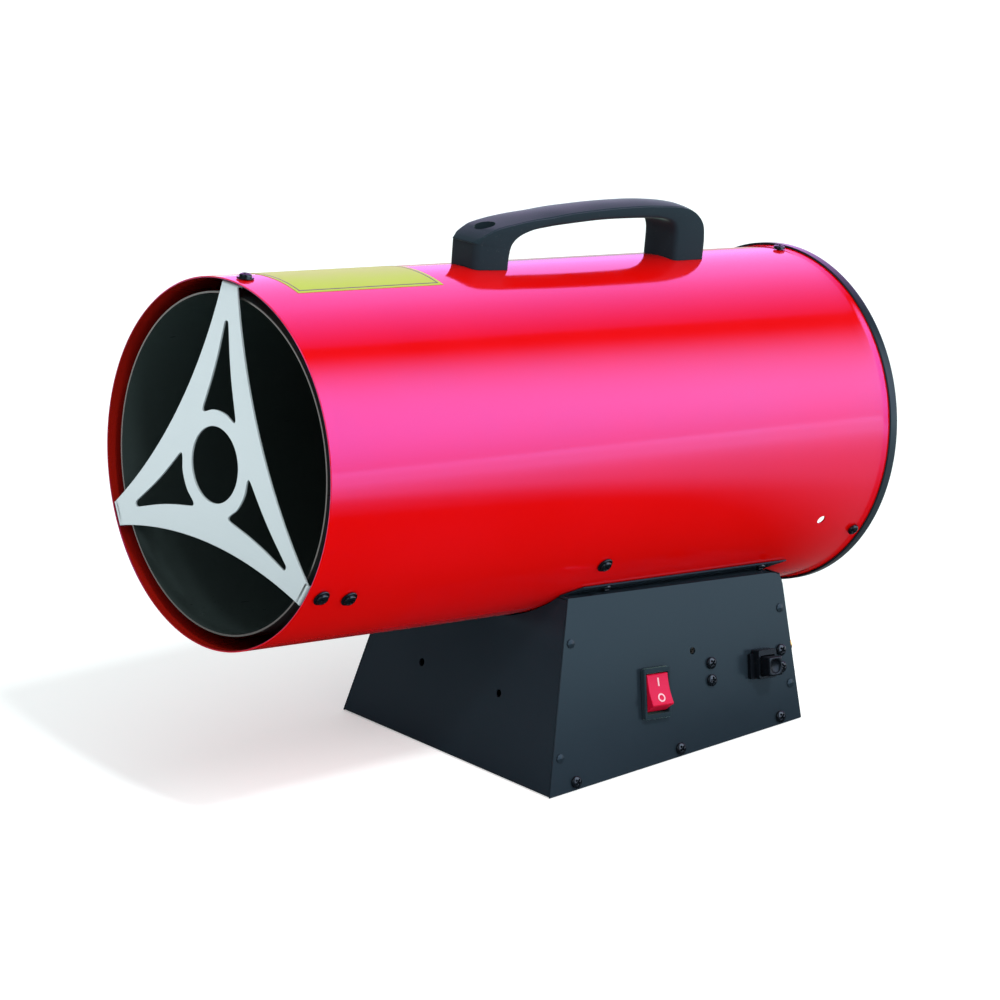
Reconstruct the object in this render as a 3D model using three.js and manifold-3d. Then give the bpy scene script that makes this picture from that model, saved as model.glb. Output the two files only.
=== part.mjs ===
// Forced air heater for bottled gas. A steel barrel, nose up a little, sits on a folded sheet box.
// Millimetres, +Z up. The origin is on the floor under the middle of the barrel, the hot air leaves
// towards -Y, and the controls are on the +X side.

import * as THREE from 'three';
import { mergeVertices } from 'three/addons/utils/BufferGeometryUtils.js';
import Module from 'manifold-3d';

const wasm = await Module();
wasm.setup();

// Fits
const clearance = 0.3; // between pieces that rest on or in each other
const runningGap = 0.08; // between a shaft and its bearing
const screwHoleGap = 0.5; // round a screw in its hole

// Barrel
const barrelDiameter = 210;
const barrelLength = 439;
const shellWall = 1;
const barrelTilt = 6.28; // degrees, outlet up
const axisHeight = 188.3; // of the barrel's axis over the floor, at its mid length
const flareRise = 0.8; // of the shell's rear edge
const flareLength = 5;
const shellSides = 60;

// Combustion tube
const tubeGap = 8.5; // between the tube's outside and the shell's
const tubeWall = 1;
const tubeRecess = 4; // behind the shell's front edge
const tubeLength = 273;
const spacerRadius = 5; // bushes that hold the tube in the shell
const frontSpacerSetback = 31.4; // from the shell's front edge
const rearSpacerY = 2;
const spacerAngle = -33.5; // degrees from +X towards +Z

// Front guard, cut from sheet
const guardSheet = 1.2;
const guardTurn = -1.5; // degrees, of the three arms from straight up
const guardArmWidth = 14.8;
const guardWaist = 0.433; // of the shell's radius, from the centre to the middle of a curved edge
const guardHoleDiameter = 43.4;
const guardRingWidth = 9.6;
const guardWindowMargin = 25; // from a window's tip to the shell's outside
const guardWindowWidth = 35;
const guardWindowBow = 1.3;
const guardTabLength = 20;
const guardScrewSetback = 10.5;

// Rear guard, pressed
const rearGuardSheet = 1.2;
const rearLipLength = 5;
const rearSkirtLength = 17;
const rearScrewSetback = 11.5;
const slotRows = 5;
const slotWeb = 5; // between one row of slots and the next
const firstSlotRadius = 39;
const slotSectors = 6;
const slotBridge = 7;

// Handle
const handleWidth = 30;
const handleFront = -53; // along the barrel, from its middle
const handleLength = 183;
const handleRise = 34.8; // of its top over the shell
const frontFootLength = 27;
const rearFootLength = 23.5;
const gripThickness = 9;
const handleRounding = 3;
const handleScrewOffset = 17.5; // behind the handle's front end
const handleBoreDiameter = 12.5;
const handleSeatThickness = 7; // of plastic under the screw's head

// Screws: head radius, head height, shank radius, shank length
const panHead = 3.6;
const panHeight = 2.3;
const panShank = 1.6;
const panLength = 7;
const washerRadius = 5.1;
const washerThickness = 1;
const smallHead = 2.6;
const smallHeight = 1.6;
const smallShank = 1.2;
const smallLength = 4.5;
const rivetRadius = 2.8;
const rivetHeight = 1.3;
const screwSides = 8;
const holeSides = 6; // of the holes that screws pass through

// Base box
const baseSheet = 1;
const baseWidth = 195.2; // at the floor
const baseFrontY = -54.8; // of the front panel's foot
const baseRearY = 152.2;
const frontLean = 16.36; // degrees, of the front panel backwards
const rearLean = 1.94;
const panelCornerRadius = 8;
const flangeWidth = 14; // of the folds that the side panels are fixed to
const trayFlange = 10;
const trayScrewInset = 21; // of the front tray screw from the panel's foot
const trayScrewRearInset = 18;
const cradleAngle = 48.5; // degrees below +X, where the side flanges touch the shell
const ledgeWidth = 7.71; // from the cradle flange's foot out to the side panel, at the front
const cradleWidth = 8;
const cradleTail = 1.6;
const cradleChamfer = 13;
const cradleOverhang = 9;
const panelHoleDiameter = 5;
const panelHoleX = 36;
const panelHoleHeight = 47;

// Switch. The controls stand square to the barrel, so they are turned with it.
const switchY = 34.8;
const switchHeight = 43;
const bezelWidth = 21;
const bezelHeight = 30.5;
const bezelThickness = 2.3;
const rockerWidth = 16.6;
const rockerHalfLength = 11.3;
const rockerNose = 9; // from the pivot to each raised end, along the face
const rockerRise = 9.5; // of the raised ends over the pivot
const rockerDip = 1.1;
const rockerTilt = 15; // degrees to each side
const pivotDepth = 3;
const switchDepth = 19;
const switchWall = 1;

// Gas button and valve
const buttonY = 122.8;
const buttonHeight = 40.3;
const capWidth = 11;
const capHeight = 11.6;
const capProtrusion = 14;
const capTravel = 6;
const dishRadius = 4.4;
const dishDepth = 1.6;
const collarWall = 1.6;
const collarHeight = 7;
const collarFlange = 3; // reach of the collar's flange past its walls
const collarFlangeThickness = 2.6;
const stemRadius = 2.5;
const valveWidth = 26;
const valveHeight = 28;
const valveDepth = 22;
const pairSpacing = 10.5;
const valvePairOffset = 17.5;
const valvePairRise = 2;
const terminalY = 82;
const terminalHeight = 45.2;
const moduleWidth = 46; // of the ignition module, on the tray
const moduleDepth = 62;
const moduleHeight = 30;
const moduleEar = 8;
const moduleX = -28;
const lampHoleY = 69.3;
const lampHoleHeight = 60.9;
const lampHoleDiameter = 4.5;
const sightHoleDiameter = 6;
const sightHoleSetback = 45.5; // from the shell's rear edge
const sightHoleAngle = -25.6;

// Motor and fan
const shaftRadius = 4;
const motorRadius = 40;
const motorLength = 50;
const bellDepth = 9;
const bellInset = 6;
const fanTipGap = 12; // between the blades and the shell
const fanDepth = 24;
const hubRadius = 17;
const bladeCount = 5;
const bladeThickness = 1.4;
const bladeArc = 50; // degrees that a blade spans at its tip
const bladeRootPitch = 40;
const bladeTipPitch = 24;
const fanGap = 6; // between the motor and the hub

// Burner
const burnerRim = 9;
const burnerSheet = 1.2;
const cupRootRadius = 30;
const cupMouthRadius = 46;
const cupLength = 55;
const cupHoleRadius = 4;
const cupHoles = 6;
const louvreLength = 27.9; // of the air slots round the burner
const louvreWidth = 5;
const louvreMargin = 4;
const nozzleRadius = 6;
const nozzleReach = 13;
const holderSize = 18;
const pipeRadius = 3;
const sensorOffset = 52; // of the electrode and the flame sensor from the axis
const ceramicRadius = 3.6;
const ceramicLength = 42;
const electrodeLength = 28; // of the wire before the ceramic
const sensorTail = 22; // of the flame sensor behind the burner plate
const pipeWindowWidth = 40;
const pipeWindowFront = 18; // reach of the window before the nozzle holder's middle
const pipeWindowRear = 24;

const radians = THREE.MathUtils.degToRad;
const shellRadius = barrelDiameter / 2;
const shellBore = shellRadius - shellWall;
const halfLength = barrelLength / 2;
const tubeRadius = shellRadius - tubeGap;
const tubeBore = tubeRadius - tubeWall;
const tubeFront = -halfLength + tubeRecess;
const tubeRear = tubeFront + tubeLength;
const fanRadius = shellBore - fanTipGap;

// ---- Materials ----

function finish(color, roughness, metalness) {
  return new THREE.MeshStandardMaterial({ color, roughness, metalness });
}

const finishes = {
  redPaint: finish(0xd80804, 0.18, 0.1),
  heatedSteel: finish(0x2a2c2c, 0.55, 0.7),
  stainless: finish(0xb9c4c6, 0.38, 0.8),
  blackPaint: finish(0x14181b, 0.3, 0.2),
  handlePlastic: finish(0x2b3439, 0.6, 0),
  blackPlastic: finish(0x0c0d0e, 0.45, 0),
  redPlastic: finish(0xd01226, 0.35, 0),
  zincSteel: finish(0x8f9496, 0.45, 0.8),
  blackSteel: finish(0x17191b, 0.35, 0.6),
  aluminium: finish(0xa9adb0, 0.4, 0.9),
  brass: finish(0xb08d46, 0.35, 0.9),
  copper: finish(0xa86a45, 0.35, 0.9),
  ceramic: finish(0xe8e4da, 0.5, 0),
  whitePlastic: finish(0xf2f2ee, 0.5, 0),
};

// ---- Solids ----

// Positions only, with shared vertices merged, no empty triangles, and faces pointing out.
function closed(source) {
  const bare = source.index ? source.toNonIndexed() : source.clone();
  for (const name of Object.keys(bare.attributes)) {
    if (name !== 'position') bare.deleteAttribute(name);
  }
  const merged = mergeVertices(bare, 1e-4);
  const ids = merged.index.array;
  const at = (i) => new THREE.Vector3().fromBufferAttribute(merged.attributes.position, i);
  const kept = [];
  let volume = 0;
  for (let i = 0; i < ids.length; i += 3) {
    const [a, b, c] = [ids[i], ids[i + 1], ids[i + 2]];
    if (a === b || b === c || c === a) continue;
    kept.push([a, b, c]);
    volume += at(a).dot(at(b).cross(at(c)));
  }
  merged.setIndex(kept.flatMap(([a, b, c]) => (volume < 0 ? [a, c, b] : [a, b, c])));
  return merged;
}

function toSolid(geometry) {
  const mesh = closed(geometry);
  return new wasm.Manifold(new wasm.Mesh({
    numProp: 3,
    vertProperties: new Float32Array(mesh.attributes.position.array),
    triVerts: new Uint32Array(mesh.index.array),
  }));
}

function toGeometry(solid) {
  const mesh = solid.getMesh();
  const geometry = new THREE.BufferGeometry();
  geometry.setAttribute('position', new THREE.BufferAttribute(mesh.vertProperties, 3));
  geometry.setIndex(new THREE.BufferAttribute(mesh.triVerts, 1));
  return geometry;
}

function join(...geometries) {
  const solids = geometries.map(toSolid);
  return toGeometry(solids.reduce((whole, next) => whole.add(next)));
}

function cut(geometry, ...tools) {
  const solids = tools.map(toSolid);
  return toGeometry(solids.reduce((whole, next) => whole.subtract(next), toSolid(geometry)));
}

function moved(geometry, matrix) {
  return geometry.clone().applyMatrix4(matrix);
}

function block(x0, x1, y0, y1, z0, z1) {
  const geometry = new THREE.BoxGeometry(x1 - x0, y1 - y0, z1 - z0);
  return geometry.translate((x0 + x1) / 2, (y0 + y1) / 2, (z0 + z1) / 2);
}

// A profile of [radius, height] points turned about the Y axis. Both ends lie on the axis, or the
// profile closes on itself.
function turnedAboutY(profile, sides) {
  const points = profile.map(([radius, height]) => new THREE.Vector2(radius, height));
  if (profile[0][0] > 0) points.push(points[0].clone());
  return closed(new THREE.LatheGeometry(points, sides));
}

function turned(profile, sides) {
  return turnedAboutY(profile, sides).rotateX(Math.PI / 2);
}

function rod(radius, low, high, sides = 16) {
  return turned([[0, low], [radius, low], [radius, high], [0, high]], sides);
}

function rodAlongY(radius, low, high, sides = 16) {
  return turnedAboutY([[0, low], [radius, low], [radius, high], [0, high]], sides);
}

// A hole whose flats, not its corners, have the given radius, so that a round pin of as many sides
// turns freely in it.
function freeRadius(radius, sides) {
  return radius / Math.cos(Math.PI / sides);
}

function arc(radius, from, to, steps) {
  return Array.from({ length: steps + 1 }, (_, i) => {
    const angle = from + ((to - from) * i) / steps;
    return new THREE.Vector2(radius * Math.cos(angle), radius * Math.sin(angle));
  });
}

// Each corner [x, y, radius] of a loop is rounded by a curve that starts and ends radius away.
function rounded(corners, steps = 4) {
  const points = [];
  corners.forEach(([x, y, radius], i) => {
    const here = new THREE.Vector2(x, y);
    if (!radius) {
      points.push(here);
      return;
    }
    const [a, b] = [corners.at(i - 1), corners[(i + 1) % corners.length]];
    const towards = ([px, py]) => {
      const step = new THREE.Vector2(px - x, py - y);
      return here.clone().addScaledVector(step.clone().normalize(), Math.min(radius, step.length() / 2));
    };
    const bend = new THREE.QuadraticBezierCurve(towards(a), here, towards(b));
    points.push(...bend.getPoints(steps));
  });
  return points;
}

function extruded(outline, holes, depth) {
  const shape = new THREE.Shape(outline);
  shape.holes = holes.map((points) => new THREE.Path(points));
  return new THREE.ExtrudeGeometry(shape, { depth, bevelEnabled: false });
}

// A flat plate in its own plane, from low to high along the plane's normal.
function plate(outline, low, high, holes = []) {
  return extruded(outline, holes, high - low).translate(0, 0, low);
}

// A flat plate square to the barrel's axis, between two stations along it.
function disc(outline, holes, front, rear) {
  return extruded(outline, holes, rear - front).rotateX(Math.PI / 2).translate(0, rear, 0);
}

function hole(x, y, radius, sides = holeSides) {
  return arc(radius, 0, 2 * Math.PI, sides).slice(0, -1).map((p) => p.add(new THREE.Vector2(x, y)));
}

function rectangle(x, y, width, height, turn = 0) {
  const corners = [[-1, -1], [1, -1], [1, 1], [-1, 1]];
  return corners.map(([i, j]) => new THREE.Vector2((i * width) / 2, (j * height) / 2)
    .rotateAround(new THREE.Vector2(), turn).add(new THREE.Vector2(x, y)));
}

// ---- Frames ----

function frame(origin, u, v) {
  const across = new THREE.Vector3(...u);
  const up = new THREE.Vector3(...v);
  const out = across.clone().cross(up);
  return new THREE.Matrix4().makeBasis(across, up, out).setPosition(...origin);
}

const tilt = radians(barrelTilt);
const frontSlope = Math.tan(radians(frontLean));
const rearSlope = -Math.tan(radians(rearLean));
const halfBase = baseWidth / 2;

// The cradle flange lies flat on the shell, low on its side. A level ledge runs from its foot out to
// the top of the side panel, which sets how far that panel leans in.
const cradle = radians(cradleAngle);
const cradleReach = shellRadius + clearance;
const seatZ = -cradleReach * Math.sin(cradle) - cradleTail * Math.cos(cradle);
const seatX = cradleReach * Math.cos(cradle) - cradleTail * Math.sin(cradle);
const lean = Math.atan((halfBase - seatX - ledgeWidth) / seatHeight(baseFrontY, frontSlope));

const barrelFrame = new THREE.Matrix4().makeRotationX(-tilt).setPosition(0, 0, axisHeight);
// In a panel's frame u runs along its foot, v up its slope and w out of it.
const sideFrame = frame([halfBase, 0, 0], [0, 1, 0], [-Math.sin(lean), 0, Math.cos(lean)]);
const frontFrame = frame([0, baseFrontY, 0], [1, 0, 0],
  [0, Math.sin(radians(frontLean)), Math.cos(radians(frontLean))]);
const rearFrame = frame([0, baseRearY, 0], [-1, 0, 0],
  [0, -Math.sin(radians(rearLean)), Math.cos(radians(rearLean))]);

const cradleOnBarrel = frame([cradleReach * Math.cos(cradle), 0, -cradleReach * Math.sin(cradle)],
  [0, 1, 0], [Math.sin(cradle), 0, Math.cos(cradle)]);
const cradleFrame = barrelFrame.clone().multiply(cradleOnBarrel);
const cradleScrewRise = (cradleWidth - cradleTail) * 0.6;

const object = new THREE.Group();

function groupIn(parent, matrix) {
  const group = new THREE.Group();
  matrix.decompose(group.position, group.quaternion, group.scale);
  parent.add(group);
  return group;
}

const barrel = groupIn(object, barrelFrame);
const side = groupIn(object, sideFrame);
const rear = groupIn(object, rearFrame);
const cradleGroup = groupIn(object, cradleFrame);

function piece(parent, name, geometry, material) {
  const mesh = new THREE.Mesh(closed(geometry), material);
  mesh.name = name;
  parent.add(mesh);
  return mesh;
}

// ---- Fasteners ----

function screwProfile(head, height, shank, length) {
  return [[0, -length], [shank, -length], [shank, 0], [head, 0], [head, height / 2], [0, height]];
}

function panScrew(length = panLength) {
  return turned(screwProfile(panHead, panHeight, panShank, length), screwSides);
}

function washerScrew(length = panLength) {
  const profile = screwProfile(panHead, panHeight + washerThickness, panShank, length);
  profile.splice(3, 0, [washerRadius, 0], [washerRadius, washerThickness]);
  profile[5] = [panHead, washerThickness];
  return turned(profile, screwSides);
}

function smallScrew() {
  return turned(screwProfile(smallHead, smallHeight, smallShank, smallLength), screwSides);
}

function rivet(u, v) {
  const root = -baseSheet / 2;
  const profile = [[0, root], [rivetRadius, root], [rivetRadius, rivetHeight / 2], [0, rivetHeight]];
  return turned(profile, screwSides).translate(u, v, 0);
}

// Sets a piece that is made along +Z on the barrel, pointing out at an angle from +X towards +Z.
function setOnBarrel(mesh, y, degrees, radius) {
  const out = new THREE.Vector3(Math.cos(radians(degrees)), 0, Math.sin(radians(degrees)));
  mesh.position.copy(out).multiplyScalar(radius).setY(y);
  mesh.quaternion.setFromUnitVectors(new THREE.Vector3(0, 0, 1), out);
}

function radialRod(y, degrees, radius, low, high, sides = holeSides) {
  const tool = new THREE.Mesh();
  setOnBarrel(tool, y, degrees, 0);
  tool.updateMatrix();
  return moved(rod(radius, low, high, sides), tool.matrix);
}

const armAngles = [90, 210, 330].map((angle) => angle + guardTurn);
const guardScrewY = -halfLength + guardScrewSetback;
const spacerAngles = [spacerAngle, 180 - spacerAngle];
const frontSpacerY = -halfLength + frontSpacerSetback;
const rearScrewY = halfLength - rearScrewSetback;
const handleScrewY = handleFront + handleScrewOffset;
const sightHoleY = halfLength - sightHoleSetback;

const shellScrews = [
  ...armAngles.map((angle, i) => ['guard_screw_' + (i + 1), guardScrewY, angle, washerScrew]),
  ...spacerAngles.map((angle, i) => ['tube_screw_front_' + (i + 1), frontSpacerY, angle, washerScrew]),
  ...spacerAngles.map((angle, i) => ['tube_screw_rear_' + (i + 1), rearSpacerY, angle, washerScrew]),
  ...armAngles.map((angle, i) => ['rear_guard_screw_' + (i + 1), rearScrewY, angle, panScrew]),
];

// ---- Shell ----

function cradleScrewYs() {
  const [front, back] = cradleEnds();
  const inset = (back - front) * 0.19;
  return [front + inset, back - inset * 0.35];
}

function outerShell() {
  const flareStart = halfLength - rearLipLength - flareLength;
  const profile = [
    [shellBore, -halfLength], [shellRadius, -halfLength], [shellRadius, flareStart],
    [shellRadius + flareRise, flareStart + flareLength], [shellRadius + flareRise, halfLength],
    [shellBore, halfLength],
  ];
  const wall = [shellBore - 2 * shellWall, shellRadius + 2 * shellWall];
  const tools = shellScrews.map(([, y, angle]) => (
    radialRod(y, angle, panShank + screwHoleGap, ...wall)));
  tools.push(radialRod(handleScrewY, 90, panShank + screwHoleGap, ...wall));
  tools.push(radialRod(sightHoleY, sightHoleAngle, sightHoleDiameter / 2, ...wall, 12));
  for (const y of cradleScrewYs()) {
    const bore = moved(rod(smallShank + screwHoleGap, -4 * shellWall, shellWall, holeSides)
      .translate(y, cradleScrewRise, 0), cradleOnBarrel);
    tools.push(bore, mirrored(bore));
  }
  const [low, high] = pipeWindow();
  tools.push(block(-pipeWindowHalf, pipeWindowHalf, low, high, -shellRadius - shellWall, -shellBore / 2));
  return cut(turnedAboutY(profile, shellSides), ...tools);
}

// ---- Combustion tube ----

function combustionTube() {
  const profile = [[tubeBore, tubeFront], [tubeRadius, tubeFront], [tubeRadius, tubeRear],
    [tubeBore, tubeRear]];
  const tube = turnedAboutY(profile, shellSides);
  const places = spacerAngles.flatMap((angle) => [[frontSpacerY, angle], [rearSpacerY, angle]]);
  const top = shellBore * Math.cos(Math.PI / shellSides) - clearance;
  const bushes = places.map(([y, angle]) => radialRod(y, angle, spacerRadius, tubeBore, top, screwSides));
  const bores = places.map(([y, angle]) => (
    radialRod(y, angle, panShank + screwHoleGap, tubeBore - tubeWall, shellRadius)));
  return cut(join(tube, ...bushes), ...bores);
}

// ---- Front guard ----

function spin(points, angle) {
  return points.map((p) => p.clone().rotateAround(new THREE.Vector2(), angle));
}

// One of the three curved edges, from the arm at its right to the arm at its left.
function guardEdge(reach) {
  const half = Math.asin(guardArmWidth / 2 / reach);
  const end = new THREE.Vector2(reach * Math.cos(Math.PI / 3 - half), reach * Math.sin(Math.PI / 3 - half));
  const waist = guardWaist * shellRadius;
  const sag = end.x - waist;
  const radius = (end.y ** 2 + sag ** 2) / (2 * sag);
  const sweep = Math.asin(end.y / radius);
  return arc(radius, Math.PI + sweep, Math.PI - sweep, 10)
    .map((p) => new THREE.Vector2(p.x + waist + radius, p.y));
}

function guardWindow() {
  const inner = guardHoleDiameter / 2 + guardRingWidth;
  const half = Math.asin(guardWindowWidth / 2 / inner);
  const [right, left] = [Math.PI / 2 - half, Math.PI / 2 + half];
  const foot = (angle) => [inner * Math.cos(angle), inner * Math.sin(angle)];
  const reach = shellRadius - guardWindowMargin;
  const middle = (angle) => {
    const [x, y] = foot(angle);
    return [x / 2 - Math.sign(x) * guardWindowBow, (y + reach) / 2];
  };
  const rim = [0.25, 0.5, 0.75].map((t) => foot(left + (right - left) * t));
  return rounded([
    [...foot(right), 4], [...middle(right), 18], [0, reach, 5], [...middle(left), 18],
    [...foot(left), 4], [...rim[0], 4], [...rim[1], 4], [...rim[2], 4],
  ], 3);
}

function frontGuard() {
  const tabTop = shellBore * Math.cos(Math.PI / shellSides) - clearance;
  const tabFace = Math.sqrt(tabTop ** 2 - (guardArmWidth / 2) ** 2);
  const turns = [0, 1, 2].map((i) => (2 * Math.PI * i) / 3);
  const shift = radians(guardTurn);
  const outline = turns.flatMap((turn) => spin(guardEdge(tabTop), turn + Math.PI / 6 + shift));
  const windows = turns.map((turn) => spin(guardWindow(), turn + shift));
  const ringHole = arc(guardHoleDiameter / 2, 0, 2 * Math.PI, 24).slice(0, -1);
  const face = disc(outline, [ringHole, ...windows], -halfLength, -halfLength + guardSheet);
  const half = guardArmWidth / 2;
  const tab = block(-half, half, -halfLength, -halfLength + guardTabLength, tabFace - guardSheet, tabFace);
  const bore = rod(panShank + screwHoleGap, tabFace - 3 * guardSheet, tabFace + guardSheet, holeSides)
    .translate(0, guardScrewY, 0);
  const drilled = cut(tab, bore);
  const tabs = turns.map((turn) => drilled.clone().rotateY(-turn - shift));
  return join(face, ...tabs);
}

// ---- Rear guard ----

const lipInner = shellRadius + flareRise + clearance;
const rearPlateFront = halfLength + clearance;
const rearPlateBack = rearPlateFront + rearGuardSheet;

function rearSlots() {
  const slots = [];
  const pitch = (shellBore - clearance - rearGuardSheet - 0.5 - firstSlotRadius) / slotRows;
  for (let row = 0; row < slotRows; row += 1) {
    const inner = firstSlotRadius + row * pitch;
    const outer = inner + pitch - slotWeb;
    for (let sector = 0; sector < slotSectors; sector += 1) {
      const middle = (2 * Math.PI * sector) / slotSectors;
      const half = Math.PI / slotSectors - slotBridge / 2 / inner;
      slots.push([...arc(inner, middle - half, middle + half, 3),
        ...arc(outer, middle + half, middle - half, 3)]);
    }
  }
  return slots;
}

function rearGuard() {
  const lip = lipInner + rearGuardSheet;
  const skirt = shellBore - clearance;
  const low = rearPlateBack - rearSkirtLength;
  const profile = [
    [skirt - rearGuardSheet, low], [skirt, low], [skirt, rearPlateFront], [lipInner, rearPlateFront],
    [lipInner, halfLength - rearLipLength], [lip, halfLength - rearLipLength],
    [lip, rearPlateBack], [skirt - rearGuardSheet, rearPlateBack],
  ];
  const rim = turnedAboutY(profile, shellSides);
  const edge = arc(skirt - rearGuardSheet / 2, 0, 2 * Math.PI, shellSides).slice(0, -1);
  const screws = motorScrewPlaces().map(([x, z]) => hole(x, z, smallShank + screwHoleGap));
  const face = disc(edge, [...rearSlots(), ...screws], rearPlateFront, rearPlateBack);
  const bores = armAngles.map((angle) => (
    radialRod(rearScrewY, angle, panShank + screwHoleGap, skirt - 3 * rearGuardSheet, shellBore)));
  return cut(join(rim, face), ...bores);
}

// ---- Handle ----

function handleOutline() {
  const top = shellRadius + handleRise;
  const under = top - gripThickness;
  const back = handleFront + handleLength;
  const foot = shellRadius - handleRise / 3; // below the shell's skin, and cut off by it
  const [innerFront, innerBack] = [handleFront + frontFootLength, back - rearFootLength];
  const opening = innerBack - innerFront;
  // Along the handle from its front end, and down from its top, in shares of its length and rise.
  const upper = new THREE.SplineCurve([
    [0, 0.546], [0.027, 0.379], [0.087, 0.253], [0.175, 0.167], [0.41, 0.043], [0.69, 0],
    [0.809, 0.011], [0.902, 0.069], [0.967, 0.259], [0.996, 0.517],
  ].map(([along, down]) => (
    new THREE.Vector2(handleFront + along * handleLength, top - down * handleRise)))).getPoints(22);
  // The same along the opening, from its rear end forwards, and down from the grip's underside.
  const lower = new THREE.SplineCurve([
    [0.91, 0.029], [0.78, 0.006], [0.605, 0.003], [0.279, 0.075], [0.128, 0.144], [0.045, 0.259],
    [0.012, 0.402],
  ].map(([along, down]) => (
    new THREE.Vector2(innerFront + along * opening, under - down * handleRise)))).getPoints(12);
  const corner = [innerFront + 0.91 * opening, under - 0.029 * handleRise];
  const rearCorner = rounded([
    [innerBack, foot, 0], [innerBack, under - 0.063 * handleRise, 6], [...corner, 0]], 3).slice(0, -1);
  return [
    new THREE.Vector2(handleFront + 1, foot), ...upper, new THREE.Vector2(back - 0.3, foot),
    ...rearCorner, ...lower, new THREE.Vector2(innerFront, foot),
  ];
}

function handle() {
  const inset = handleRounding;
  const body = new THREE.ExtrudeGeometry(new THREE.Shape(handleOutline()), {
    depth: handleWidth - 2 * inset, bevelThickness: inset, bevelSize: inset, bevelOffset: -inset,
    bevelSegments: 2,
  });
  // The outline's first axis becomes the barrel's Y and its second the barrel's Z.
  body.translate(0, 0, -handleWidth / 2 + inset);
  body.applyMatrix4(new THREE.Matrix4().makeBasis(
    new THREE.Vector3(0, 1, 0), new THREE.Vector3(0, 0, 1), new THREE.Vector3(1, 0, 0)));
  const seat = rodAlongY(freeRadius(shellRadius + clearance, shellSides),
    -halfLength, halfLength, shellSides);
  const headSeat = shellRadius + handleSeatThickness;
  const bore = rod(handleBoreDiameter / 2, headSeat, shellRadius + 2 * handleRise, 16);
  const shank = rod(panShank + screwHoleGap, shellRadius - handleRise, headSeat + 1, holeSides);
  return cut(body, seat, bore.translate(0, handleScrewY, 0), shank.translate(0, handleScrewY, 0));
}

// ---- Motor and fan ----

const motorRear = rearPlateFront - clearance;
const rearBellFront = motorRear - bellDepth;
const motorBodyRear = rearBellFront - clearance;
const motorBodyFront = motorBodyRear - motorLength + 2 * bellDepth;
const frontBellRear = motorBodyFront - clearance;
const frontBellFront = frontBellRear - bellDepth;
const hubRear = frontBellFront - fanGap;
const hubFront = hubRear - fanDepth;
const nutFront = hubFront - clearance - bellInset;
const shaftSides = 16;

function motorScrewPlaces() {
  return armAngles.map((angle) => [
    (motorRadius - bellInset) * 0.8 * Math.cos(radians(angle)),
    (motorRadius - bellInset) * 0.8 * Math.sin(radians(angle))]);
}

function motorBody() {
  const bore = shaftRadius + 2 * clearance;
  const rib = 1.2;
  const bands = 2;
  const step = (motorBodyRear - motorBodyFront) / (2 * bands + 1);
  const profile = [[bore, motorBodyFront]];
  for (let band = 0; band <= bands; band += 1) {
    const low = motorBodyFront + 2 * band * step;
    profile.push([motorRadius, low], [motorRadius, low + step]);
    if (band < bands) profile.push([motorRadius - rib, low + step], [motorRadius - rib, low + 2 * step]);
  }
  profile.push([bore, motorBodyRear]);
  return turnedAboutY(profile, 20);
}

// An end bell is a shallow cap whose boss holds the shaft. It opens towards the motor's middle.
function motorBell(outside, inwards, boss) {
  const bearing = freeRadius(shaftRadius + runningGap, shaftSides);
  const y = (depth) => outside + inwards * depth;
  const profile = [
    [bearing, y(-boss)], [bearing + 5, y(-boss)], [bearing + 6, y(0)], [motorRadius - bellInset, y(0)],
    [motorRadius, y(bellInset * 0.7)], [motorRadius, y(bellDepth)], [bearing, y(bellDepth)],
  ];
  return turnedAboutY(profile, shaftSides);
}

function blade() {
  const rows = 4;
  const columns = 5;
  const positions = [];
  const root = hubRadius * 0.8;
  for (const face of [-1, 1]) {
    for (let i = 0; i <= rows; i += 1) {
      const t = i / rows;
      const radius = root + (fanRadius - root) * t;
      const pitch = radians(bladeRootPitch + (bladeTipPitch - bladeRootPitch) * t);
      const half = radians(bladeArc) * (0.36 + 0.22 * t - 0.08 * t ** 4);
      const sweep = radians(8) * t * t;
      for (let j = 0; j <= columns; j += 1) {
        const s = (2 * j) / columns - 1;
        // The corners of the tip are drawn in, so that the blade has a rounded end.
        const reach = radius - fanRadius * 0.06 * t * s ** 4;
        const angle = s * half + sweep;
        const along = s * half * radius * Math.tan(pitch) * 0.62;
        const camber = (1 - s * s) * 2.2;
        const thick = (face * bladeThickness) / 2 / Math.cos(pitch);
        const limit = fanDepth / 2 - bladeThickness;
        const y = Math.max(-limit, Math.min(limit, along)) + camber + thick;
        positions.push(reach * Math.cos(angle), y, reach * Math.sin(angle));
      }
    }
  }
  const width = columns + 1;
  const layer = (rows + 1) * width;
  const id = (face, i, j) => face * layer + i * width + j;
  const triangles = [];
  const quad = (a, b, c, d) => triangles.push(a, b, c, a, c, d);
  for (let i = 0; i < rows; i += 1) {
    for (let j = 0; j < columns; j += 1) {
      quad(id(0, i, j), id(0, i, j + 1), id(0, i + 1, j + 1), id(0, i + 1, j));
      quad(id(1, i, j), id(1, i + 1, j), id(1, i + 1, j + 1), id(1, i, j + 1));
    }
    quad(id(0, i, 0), id(0, i + 1, 0), id(1, i + 1, 0), id(1, i, 0));
    quad(id(0, i + 1, columns), id(0, i, columns), id(1, i, columns), id(1, i + 1, columns));
  }
  for (let j = 0; j < columns; j += 1) {
    quad(id(0, 0, j + 1), id(0, 0, j), id(1, 0, j), id(1, 0, j + 1));
    quad(id(0, rows, j), id(0, rows, j + 1), id(1, rows, j + 1), id(1, rows, j));
  }
  const geometry = new THREE.BufferGeometry();
  geometry.setAttribute('position', new THREE.Float32BufferAttribute(positions, 3));
  geometry.setIndex(triangles);
  return geometry;
}

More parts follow.
